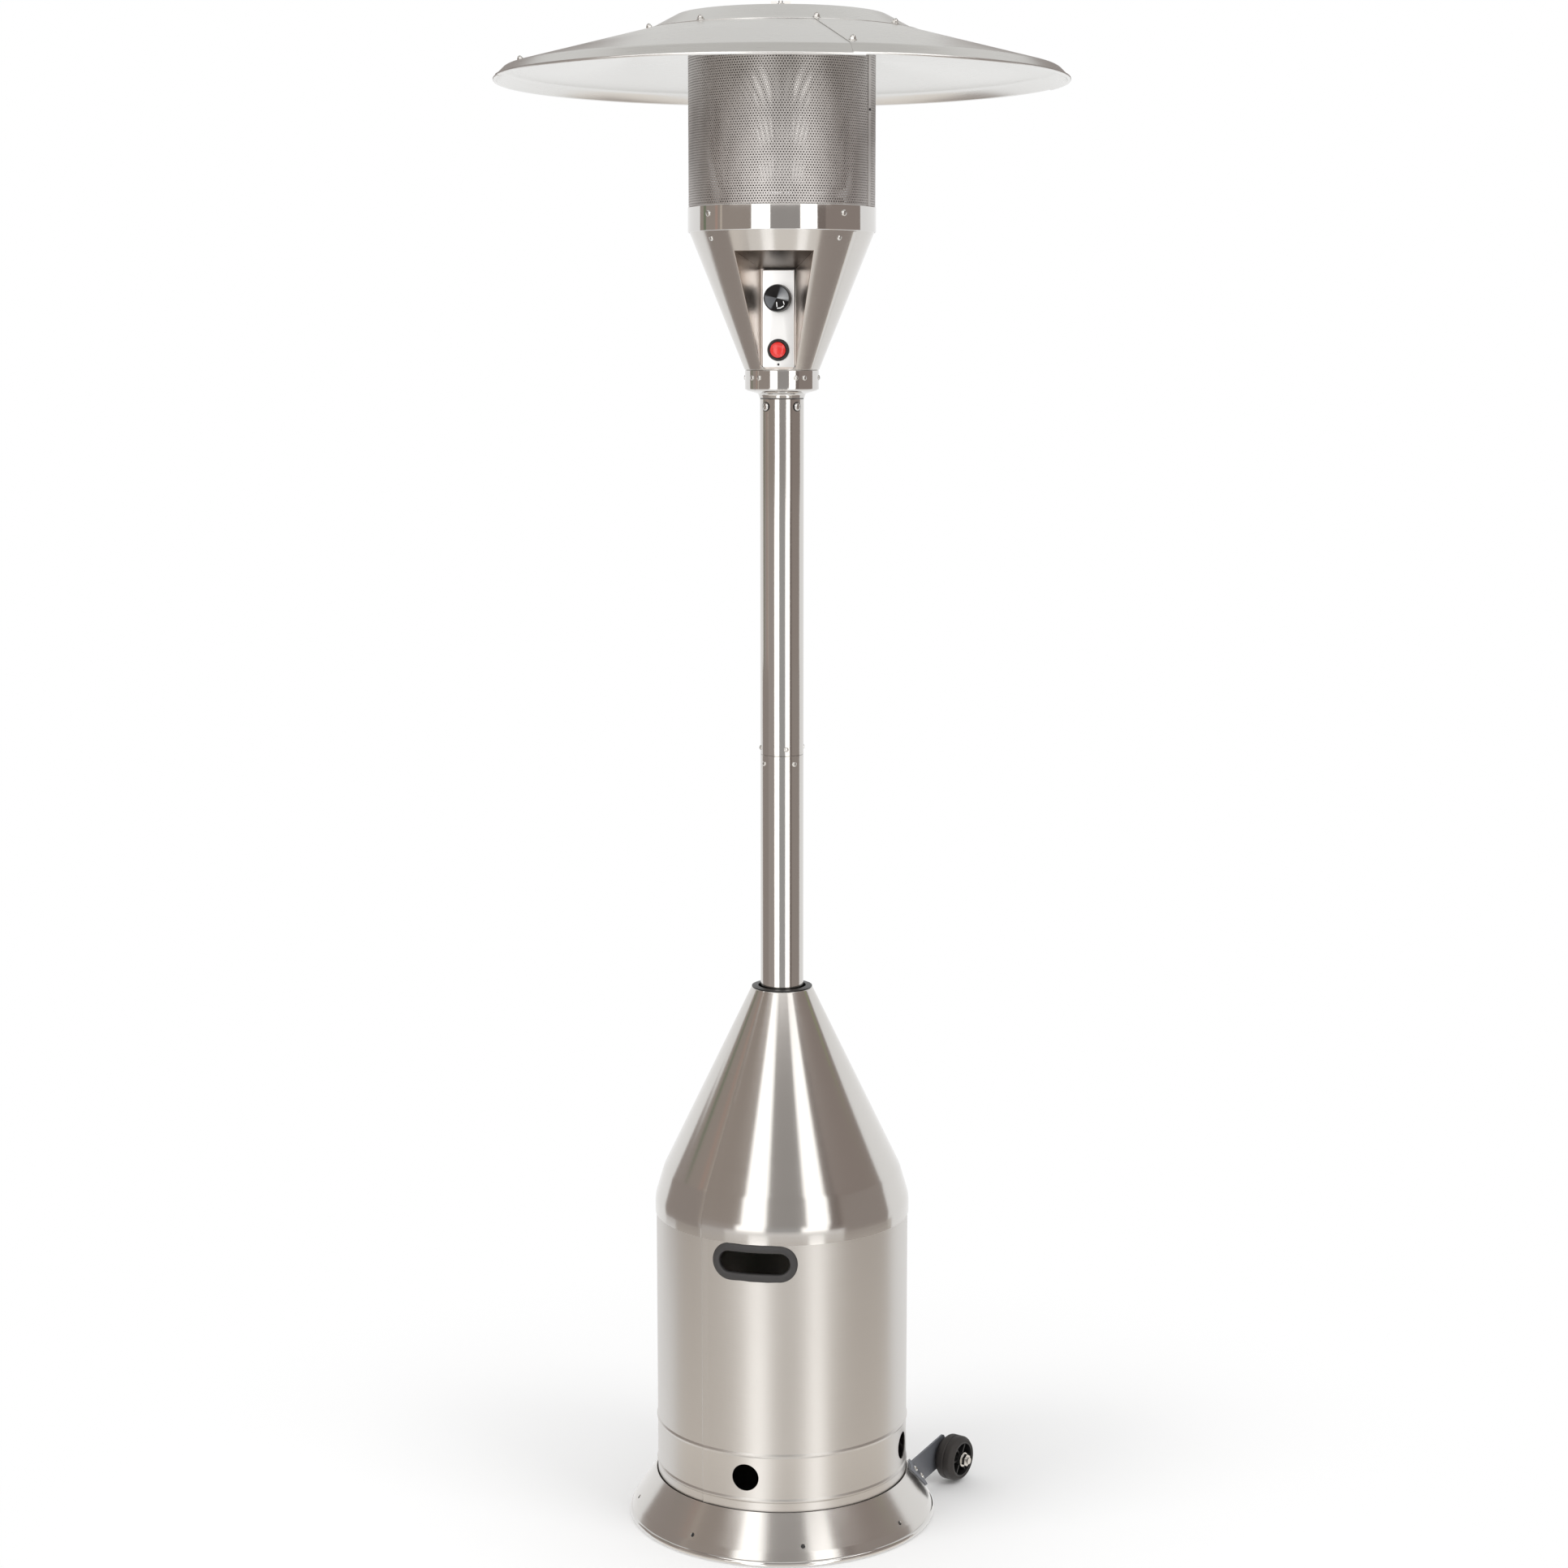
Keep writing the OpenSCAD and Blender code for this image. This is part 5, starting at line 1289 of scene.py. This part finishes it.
# %% Reflector panels
REFLECTOR_LEAN = 14.7
TILT = math.tan(math.radians(REFLECTOR_LEAN))
LIP_W = 14 * MM
LIP_DROP = 14 * MM
LIP_BEND = 14 * MM
HEM_R = 2.4 * MM
HEM_ANGLES = range(100, -176, -15)
PANEL_WALL = 1.0 * MM
CROWN_R = 150 * MM
PANEL_PHASE = 19.0
PANEL_SWEEP = 90
PANEL_LAP = 2.4
PANEL_STEP = 1.3 * MM
PANEL_STEPS = 320

panels = [f"reflector_panel_{i + 1}" for i in range(4)]
reflector_r = max(max(abs(c) for c in (*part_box(n)[0].xy, *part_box(n)[1].xy)) for n in panels)
hem_r = reflector_r - HEM_R
hem_z = foot(panels[0]) + HEM_R
bend_r = reflector_r - LIP_W
bend_z = hem_z + LIP_DROP
peak_z = bend_z + bend_r * TILT


def panel_outline():
    """A panel's sheet with the bead of its rolled rim."""
    upper = soft([(CROWN_R, peak_z - CROWN_R * TILT, 0), (bend_r, bend_z, LIP_BEND), (hem_r, hem_z, 0)])
    outline = sheet(upper, -PANEL_WALL)
    half = len(upper)
    return outline[:half - 1] + arc(Vector((hem_r, hem_z)), HEM_R, HEM_ANGLES) + outline[half + 1:]


for i, node in enumerate(panels):
    start = PANEL_PHASE + i * PANEL_SWEEP
    sweep = PANEL_SWEEP + PANEL_LAP
    panel = turned(node + "_leaf", panel_outline(), start=start, sweep=sweep, steps=PANEL_STEPS)
    for v in panel.data.vertices:
        angle = math.degrees(math.atan2(v.co.x, -v.co.y))
        share = ((angle - start + 180) % 360 - 180) / sweep
        v.co.z += PANEL_STEP * (0.5 - share)
    fit(panel, "stand", "reflector_aluminium", spun_aluminium, node)

# %% [markdown]
# A raised cap closes the middle of the reflector. It is pressed from one disc of the same sheet: a flange
# lies on the panels, a step leads up from it, and the top is flat.

# %% Reflector cap
CAP_FLANGE = 10 * MM
CAP_TOP_R = 148 * MM
CAP_LIFT = 0.8 * MM

cap_r = reach("reflector_cap")
cap_top = top("reflector_cap")
cap_z = peak_z - cap_r * TILT + CAP_LIFT
cap_outline = sheet(soft([
    (cap_r, cap_z, 0), (cap_r - CAP_FLANGE, cap_z + CAP_FLANGE * TILT, 4 * MM), (CAP_TOP_R, cap_top, 8 * MM),
    (0, cap_top, 0)]), PANEL_WALL)
cap = turned("reflector_cap_pressing", cap_outline)
fit(cap, "stand", "reflector_aluminium", spun_aluminium, "reflector_cap")

# %% [markdown]
# The wheels sit on bolts in two brackets behind the base. Each has a rubber tyre of two round lobes with a
# groove between them, on a black hub with a hollow, ribbed face. They are turned about Z and then put on
# the axles that the frame's joints give.

# %% Outlines of tyre and hub
LOBE_GAP = 1.6 * MM
LOBE_BEND = 6 * MM
GROOVE_DEEP = 1.5 * MM
TYRE_BED = 7 * MM
TYRE_SIDE = 5 * MM
HUB_RIM = 3 * MM
HUB_BORE = 5.1 * MM
HUB_BOSS = 9 * MM

wheel_r = (top("tyre_right") - foot("tyre_right")) / 2
bed_r = wheel_r - TYRE_BED


def tyre_outline(r, half):
    wall = r - TYRE_SIDE
    return soft([
        (r - TYRE_BED, -half, 0), (wall, -half, 2 * MM), (r, -half + LOBE_BEND, LOBE_BEND),
        (r, -LOBE_GAP, 0.8 * MM), (r - GROOVE_DEEP, 0, 0.4 * MM), (r, LOBE_GAP, 0.8 * MM),
        (r, half - LOBE_BEND, LOBE_BEND), (wall, half, 2 * MM), (r - TYRE_BED, half, 0)])


def hub_outline(bed, half):
    rim = bed - HUB_RIM
    return soft([
        (HUB_BORE, -half, 0), (HUB_BOSS, -half, 0.6 * MM), (10 * MM, -3 * MM, 2 * MM),
        (rim, -2 * MM, 1.5 * MM), (rim, -half, 0.6 * MM),
        (bed, -half, 0.4 * MM), (bed, half, 0.4 * MM), (rim, half, 0.6 * MM),
        (rim - 0.6 * MM, 2 * MM, 1.5 * MM), (10.5 * MM, 3 * MM, 2 * MM), (9.5 * MM, half - 1 * MM, 0.8 * MM),
        (HUB_BORE, half - 1 * MM, 0)])


print("wheels are", round(2 * wheel_r, 4), "m across")

# %% Wheels
HUB_IN = 0.5 * MM
HUB_RIBS = 6
RIB_WALL = 2.4 * MM
RIB_DOWN = 4 * MM
WHEEL_HALF = 16 * MM
WHEEL_STEPS = 120


def wheel_place(side):
    """Matrix that puts a piece made about Z on an axle, with its top outwards."""
    joint = next(j for j in frame["joints"] if j["name"] == f"wheel_{side}_spin")
    axis = Vector(joint["axis"]).normalized() * (1 if side == "right" else -1)
    return Matrix.Translation(joint["pos_m"]) @ axis.to_track_quat("Z", "Y").to_matrix().to_4x4()


def hub_ribs(bed, height):
    """Thin upright ribs between the hub's boss and its rim."""
    bm = bmesh.new()
    outer = bed - HUB_RIM + 0.3 * MM
    at = Vector(((HUB_BOSS + outer) / 2, 0, height / 2))
    for k in range(HUB_RIBS):
        turn = Matrix.Rotation(2 * math.pi * k / HUB_RIBS, 4, "Z")
        block(bm, turn @ at, (outer - HUB_BOSS, RIB_WALL, height), turn)
    return shell("ribs", bm)


for side in ("left", "right"):
    tyre = turned(f"tyre_{side}_tread", tyre_outline(wheel_r, WHEEL_HALF), steps=WHEEL_STEPS)
    rim = turned("rim", hub_outline(bed_r, WHEEL_HALF - HUB_IN), steps=WHEEL_STEPS)
    hub = merged(f"hub_{side}_moulding", rim, hub_ribs(bed_r, WHEEL_HALF - RIB_DOWN))
    for made in (tyre, hub):
        made.data.transform(wheel_place(side))
    fit(tyre, f"wheel_{side}", "tyre_rubber", tyre_rubber, f"tyre_{side}")
    fit(hub, f"wheel_{side}", "black_plastic", black_plastic, f"hub_{side}")

# %% [markdown]
# Screws, bolts and nuts repeat in rings round the heater. One Geometry Nodes tree takes a head shape and
# lays it round the post: how many, how far out, how high, from which angle, and how the head leans.

# %% Ring of fasteners
OUTWARD = 90.0


def ring_tree():
    tree, given = new_tree(
        "fastener ring", Head="Object", Count="Int", Radius="Float", Height="Float", Phase="Float",
        Tilt="Float", Finish="Material")
    seated = Term.of(tree, "GeometryNodeTransform", inputs={
        "Geometry": shape_of(tree, given["Head"]),
        "Translation": vector(tree, y=0.0 - given["Radius"], z=given["Height"]),
        "Rotation": vector(tree, x=given["Tilt"])})
    turn = given["Phase"] + Term.of(tree, "GeometryNodeInputIndex") * (2 * math.pi) / given["Count"]
    return close_tree(tree, points_in_place(tree, given["Count"]), seated, turn, given["Finish"])


fastener_ring = ring_tree()


def ring(name, head, count, radius, height, phase, tilt=OUTWARD):
    return grown(
        name, fastener_ring, Head=head, Count=count, Radius=radius, Height=height,
        Phase=math.radians(phase), Tilt=math.radians(tilt), Finish=screw_steel)


def fasten(name, node, *rings):
    made = merged(name, *rings) if len(rings) > 1 else rings[0]
    made.name = name
    fit(made, "stand", "fasteners", screw_steel, node)


# %% [markdown]
# Two shapes are enough for the heads: a domed screw head with a cross pressed into it, and a hexagon nut
# with a domed cap on a washer. The cross is cut with two bars, and a turn in six steps makes the hexagon.

# %% Screw heads and nuts
HEAD_SINK = 0.5 * MM
CROSS_TURN = 20
HEAD_STEPS = 40
NUT_STEPS = 32
NUT_WASHER = 0.8 * MM
NUT_FOLD = 28.0


def pan_head(radius, height):
    head = turned("head", soft([
        (0, -HEAD_SINK, 0), (radius, -HEAD_SINK, 0), (radius, height * 0.35, 0.25 * MM),
        (radius * 0.72, height * 0.86, radius * 0.9), (0, height, 0)]), steps=HEAD_STEPS)
    bars = []
    for turn in (CROSS_TURN, CROSS_TURN + 90):
        bm = bmesh.new()
        size = (radius * 1.05, radius * 0.24, height)
        block(bm, (0, 0, height * 0.98), size, Matrix.Rotation(math.radians(turn), 4, "Z"))
        bars.append(shell("bar", bm))
    return cut(head, *bars)


def dome_nut(radius):
    bm = bmesh.new()
    washer_r = radius * 1.35
    washer_path = [(0, 0, 0), (washer_r, 0, 0), (washer_r, NUT_WASHER, 0.3 * MM), (0, NUT_WASHER, 0)]
    hexagon_path = [
        (0, NUT_WASHER, 0), (radius, NUT_WASHER, 0), (radius, 3.4 * MM, 0.5 * MM), (0, 3.6 * MM, 0)]
    dome_path = [
        (0, 3.0 * MM, 0), (radius * 0.8, 3.0 * MM, 0), (radius * 0.78, 5.4 * MM, radius * 0.75),
        (0, 7.0 * MM, 0)]
    for path, steps in ((washer_path, NUT_STEPS), (hexagon_path, 6), (dome_path, NUT_STEPS)):
        turn_into(bm, soft(path), steps=steps)
    return shell("head", bm, NUT_FOLD)


print("screw heads turn in", HEAD_STEPS, "steps, nuts in", NUT_STEPS)

# %% [markdown]
# The screws of post, collar, head cone and band stand square to the sheet that they hold. Each ring starts
# from the angle that the photograph shows.

# %% Screws of the post, collar, cone and band
POST_SCREW_UP = 10 * MM
POST_SCREW_DOWN = 12 * MM
CONE_SCREW_DROP = 10 * MM
NECK_PHASE = 49.0

post_joint = top("lower_post")
collar_screw_z = middle("collar_screws")
cone_screw_z = head_top - CONE_SCREW_DROP
neck_bolt_z = middle("neck_bolts")
head_lean = math.degrees(math.atan((HEAD_TOP_R - HEAD_FOOT_R) / (head_top - head_foot)))
small = pan_head(3.6 * MM, 2.0 * MM)
broad = pan_head(4.4 * MM, 2.2 * MM)
stout = pan_head(5.7 * MM, 3.2 * MM)
washer = turned("washer", soft([
    (post_r * 0.1, 0.1 * MM, 0), (6.9 * MM, 0.1 * MM, 0), (6.7 * MM, 0.7 * MM, 0.3 * MM),
    (post_r * 0.1, 0.7 * MM, 0)]), steps=HEAD_STEPS)
fasten(
    "post_screw_heads", "post_screws",
    ring("upper", small, 4, post_r, post_joint + POST_SCREW_UP, 17.0),
    ring("lower", small, 4, post_r, post_joint - POST_SCREW_DOWN, 40.5))
fasten(
    "collar_screw_heads", "collar_screws",
    ring("six", small, 6, collar_r, collar_screw_z, 28.0),
    ring("four", small, 4, collar_r, collar_screw_z, 43.0))
cone_ring = ring("cone", small, 4, head_r(cone_screw_z), cone_screw_z, 45.0, OUTWARD + head_lean)
fasten("cone_screw_heads", "cone_screws", cone_ring)
fasten("band_screw_heads", "band_screws", ring("band", broad, 4, band_r, middle("band_screws"), 46.0))
fasten("neck_bolt_heads", "neck_bolts", ring("neck", stout, 4, post_r, neck_bolt_z, NECK_PHASE))
washers = ring("neck_washers", washer, 4, post_r, neck_bolt_z, NECK_PHASE)
fit(washers, "stand", "black_plastic", black_plastic)

# %% [markdown]
# Domed nuts hold the reflector's panels together and the cap on them. They stand square to the sheet, so
# their rings lean as far as the reflector does.

# %% Nuts of the reflector
NUT_R = 4.2 * MM
SEAM_BOLT_IN = 34.5 * MM
CAP_BOLT_IN = 7 * MM
CAP_BOLT_STEP = 49.6

nut = dome_nut(NUT_R)
nut_phase = PANEL_PHASE + PANEL_LAP / 2
cap_bolt_r = cap_r - CAP_BOLT_IN
cap_bolt_z = cap_z + CAP_BOLT_IN * TILT
seam_bolt_r = reflector_r - SEAM_BOLT_IN
seam_bolt_z = peak_z - seam_bolt_r * TILT + PANEL_STEP / 2
fasten(
    "cap_dome_nuts", "cap_bolts",
    ring("seam", nut, 4, cap_bolt_r, cap_bolt_z, nut_phase, REFLECTOR_LEAN),
    ring("between", nut, 4, cap_bolt_r, cap_bolt_z, nut_phase - CAP_BOLT_STEP, REFLECTOR_LEAN))
seam_ring = ring("seam", nut, 4, seam_bolt_r, seam_bolt_z, nut_phase, REFLECTOR_LEAN)
fasten("seam_dome_nuts", "seam_bolts", seam_ring)
for shape in (small, broad, stout, washer, nut):
    bpy.data.objects.remove(shape)

# %% [markdown]
# The solids that already have the right shape stay, and only get their finish: the struts and plate under
# the housing, the burner and valve, the brackets and the plain bolts.

# %% Finishes of the solids that stay
solid_finishes = {
    # The plate under the housing is dark as painted shade, so the vents look dark inside.
    dark_paint_and_shade: ("base_plate",),
    zinc_plate: ("support_strut_1", "support_strut_2", "support_strut_3", "post_sleeve",
                 "wheel_bracket_left", "wheel_bracket_right", "igniter_nut", "valve_spindle"),
    screw_steel: ("strut_bolts", "bracket_bolts", "axle_bolts", "reflector_studs", "reflector_nuts"),
    screen_steel: ("burner_pan", "pilot_burner", "thermocouple"),
    sooty_iron: ("burner_tube", "burner_head"),
    valve_brass: ("gas_valve", "gas_jet", "valve_plunger"),
    black_plastic: ("tilt_switch",),
    glazed_ceramic: ("spark_electrode",),
}
for material, nodes in solid_finishes.items():
    for node in nodes:
        for material_slot in frame["nodes"][node].material_slots:
            material_slot.material = material
    print(material.name, "on", len(nodes), "solids")

# %% [markdown]
# The studio is a white room. Polished steel shows it as strips: two bright panels either side of the
# camera, a grey gap between them and warm dark screens beyond. These cards are seen only in reflections.
# They stand in tiers, because post, cones and base each mirror another height of the room.

# %% Glowing cards
CARD_R = 6.5
CARD_STEP = 3


def glow_on(made, colour):
    """Makes a piece of the studio that glows and is seen only in reflections."""
    material = bpy.data.materials.new(made.name)
    material.use_nodes = True
    tree = material.node_tree
    tree.nodes.clear()
    glow = Term.of(tree, "ShaderNodeEmission", inputs={"Color": (*colour, 1.0), "Strength": 1.0})
    Term.of(tree, "ShaderNodeOutputMaterial", inputs={"Surface": glow}, output=None)
    made.data.materials.append(material)
    made.visible_camera = False
    made.visible_diffuse = False
    made.visible_transmission = False
    made.visible_shadow = False


def card(name, start, end, colour, low, high, radius=CARD_R):
    """An upright arc of glowing card, from one angle to another as seen from the camera's side."""
    bm = bmesh.new()
    steps = max(2, math.ceil((end - start) / CARD_STEP))
    base = math.degrees(VIEW_ANGLE)
    rows = [
        [bm.verts.new(polar(radius, base + start + (end - start) * k / steps, z)) for k in range(steps + 1)]
        for z in (low, high)]
    stitch(bm, *rows, closed=False)
    glow_on(shell(name, bm), colour)


print("cards stand", CARD_R, "m from the post")

# %% Colours of the studio
BRIGHT = (2.0, 1.98, 1.95)
BLACK_EDGE = (0.25, 0.21, 0.19)
UPPER_DARK = (0.39, 0.34, 0.305)
UPPER_RIGHT = (0.33, 0.28, 0.255)
UPPER_GREY = (0.40, 0.38, 0.365)
POST_DARK = (0.44, 0.395, 0.37)
POST_RIGHT = (0.36, 0.31, 0.285)
POST_GREY = (0.46, 0.455, 0.45)
CAN_DARK = (0.55, 0.51, 0.465)
CAN_GREY = (0.50, 0.455, 0.415)
FOOT_DARK = (0.92, 0.86, 0.79)
HEAD_GLOW = (0.92, 0.90, 0.88)
HEAD_HALF = (0.60, 0.57, 0.55)
HEAD_DARK = (0.37, 0.325, 0.30)
BACK_GREY = (0.74, 0.735, 0.72)
EMITTER_DARK = (0.30, 0.265, 0.25)
EMITTER_GLOW = (1.45, 1.42, 1.40)
CEILING_GREY = (0.58, 0.57, 0.55)
print("the bright panels glow with", BRIGHT)

# %% Tiers of the studio
CARD_NEAR = 6.4
HEAD_CARD_R = 2.2
EMITTER_CARD_R = 1.5
PIT = -9.0
CAN_FROM = -1.9
POST_FROM = -1.1
CONE_FROM = 1.2
FLARE_FROM = 6.3
CEILING = 11.0
HEAD_FROM = -0.12

tiers = {
    "flare": (CARD_R, FLARE_FROM, CEILING, [
        (-111, -58, UPPER_DARK), (-58, -20, BRIGHT), (-20, 47, UPPER_GREY), (47, 87, BRIGHT),
        (87, 112, UPPER_RIGHT)]),
    "cone": (CARD_R, CONE_FROM, FLARE_FROM, [
        (-118, -37, UPPER_DARK), (-37, -14, BRIGHT), (-14, 22, UPPER_GREY), (22, 43, BRIGHT),
        (43, 54, BLACK_EDGE), (54, 110, UPPER_RIGHT)]),
    "post": (CARD_R, POST_FROM, CONE_FROM, [
        (-118, -41, POST_DARK), (-41, -15, BRIGHT), (-15, 17, POST_GREY), (17, 41, BRIGHT),
        (41, 54, BLACK_EDGE), (54, 104, POST_RIGHT)]),
    "can": (CARD_R, CAN_FROM, POST_FROM, [
        (-111, -30, CAN_DARK), (-30, -13, BRIGHT), (-13, 24, CAN_GREY), (24, 38, BRIGHT),
        (38, 116, CAN_DARK)]),
    "foot": (CARD_R, PIT, CAN_FROM, [
        (-111, -30, FOOT_DARK), (-30, -13, BRIGHT), (-13, 24, FOOT_DARK), (24, 38, BRIGHT),
        (38, 116, FOOT_DARK)]),
    "back": (CARD_R, 3.3, CEILING, [(118, 242, BACK_GREY)]),
    "head": (HEAD_CARD_R, HEAD_FROM, 0.25, [(-76, -50, HEAD_HALF), (-50, 55, HEAD_GLOW)]),
    "head_side": (HEAD_CARD_R, HEAD_FROM, 1.05, [(-125, -76, HEAD_DARK), (55, 106, HEAD_DARK)]),
    "emitter": (EMITTER_CARD_R, 2.09, 2.9, [
        (-165, -64, EMITTER_DARK), (-64, 60, EMITTER_GLOW), (60, 165, EMITTER_DARK)]),
}
for tier, (radius, low, high, spans) in tiers.items():
    for number, (start, end, colour) in enumerate(spans):
        card(f"{tier}_card_{number + 1}", start, end, colour, low, high, radius)
card("green_left", -110, -105, (0.22, 0.25, 0.18), POST_FROM, FLARE_FROM, CARD_NEAR)
card("red_left", -88, -84, (0.48, 0.35, 0.30), POST_FROM, FLARE_FROM, CARD_NEAR)
card("cream_left", -80, -77, (0.62, 0.55, 0.48), POST_FROM, FLARE_FROM, CARD_NEAR)
card("green_right", 99, 102, (0.34, 0.46, 0.16), 3.2, 5.3, CARD_NEAR)
ceiling_bm = bmesh.new()
bmesh.ops.create_circle(
    ceiling_bm, cap_ends=True, segments=48, radius=CARD_R, matrix=Matrix.Translation((0, 0, CEILING)))
glow_on(shell("ceiling", ceiling_bm), CEILING_GREY)
print("the studio has", len(tiers), "tiers of cards under a ceiling at", CEILING, "m")

# %% [markdown]
# The floor is pale and keeps the heater's shadow. Further out it fades to white for the camera, while it
# goes on lighting the heater as a real floor does. The world is white to the camera and to reflections,
# and a little dimmer as a light.

# %% Floor
FLOOR_HALF = 30.0
FADE_START = 0.35
FADE_END = 1.2
WHITE = (1.0, 1.0, 1.0, 1.0)


def seen_directly(tree):
    """One for the rays of the camera and of reflections, zero for the light on the object."""
    seen = Term.of(tree, "ShaderNodeLightPath", output="Is Camera Ray")
    mirrored, through = seen.beside("Is Glossy Ray"), seen.beside("Is Transmission Ray")
    return seen.maths("MAXIMUM", mirrored).maths("MAXIMUM", through)


floor_bm = bmesh.new()
bmesh.ops.create_grid(floor_bm, x_segments=1, y_segments=1, size=FLOOR_HALF)
floor = shell("floor", floor_bm)
floor_finish = finish("pale_floor", {"Base Color": (0.92, 0.92, 0.92), "Roughness": 0.9})
tree = floor_finish.node_tree
from_post = Term.of(tree, "ShaderNodeVectorMath", {"operation": "LENGTH"}, {0: place(tree)}, output="Value")
fade = Term.of(tree, "ShaderNodeMapRange", {"interpolation_type": "SMOOTHSTEP"}, {
    "Value": from_post, "From Min": FADE_START, "From Max": FADE_END})
white = Term.of(tree, "ShaderNodeEmission", inputs={"Color": WHITE, "Strength": 1.0})
lit = Term(tree.nodes["Principled BSDF"].outputs["BSDF"])
mixed = Term.of(tree, "ShaderNodeMixShader", inputs={0: fade * seen_directly(tree), 1: lit, 2: white})
tree.links.new(mixed.socket, tree.nodes["Material Output"].inputs["Surface"])
floor.data.materials.append(floor_finish)
floor.visible_glossy = False
print("floor fades to white from", FADE_START, "m to", FADE_END, "m")

# %% World
WORLD_LIGHT = 0.85

world = bpy.data.worlds.new("studio")
bpy.context.scene.world = world
world.use_nodes = True
sky = world.node_tree
background = sky.nodes["Background"]
background.inputs["Color"].default_value = WHITE
strength = WORLD_LIGHT + seen_directly(sky) * (1.0 - WORLD_LIGHT)
sky.links.new(strength.socket, background.inputs["Strength"])
print("world lights with", WORLD_LIGHT)

# %% [markdown]
# Two soft lamps in front, left and right, model the dark plastic and rubber. The steel doesn't mirror them.

# %% Lamps
LAMP_R = 3.5
LAMP_Z = 3.6
LAMP_SIZE = 2.0
LAMP_AIM = Vector((0, 0, 1.0))

for name, angle, power in (("lamp_left", -50.0, 60.0), ("lamp_right", 55.0, 45.0)):
    lamp = bpy.data.objects.new(name, bpy.data.lights.new(name, "AREA"))
    lamp.data.energy = power
    lamp.data.size = LAMP_SIZE
    lamp.location = polar(LAMP_R, angle, LAMP_Z)
    lamp.rotation_euler = (LAMP_AIM - lamp.location).to_track_quat("-Z", "Y").to_euler()
    lamp.visible_glossy = False
    bpy.context.scene.collection.objects.link(lamp)
    print(name, power, "W")
bpy.context.scene.view_settings.view_transform = "Standard"
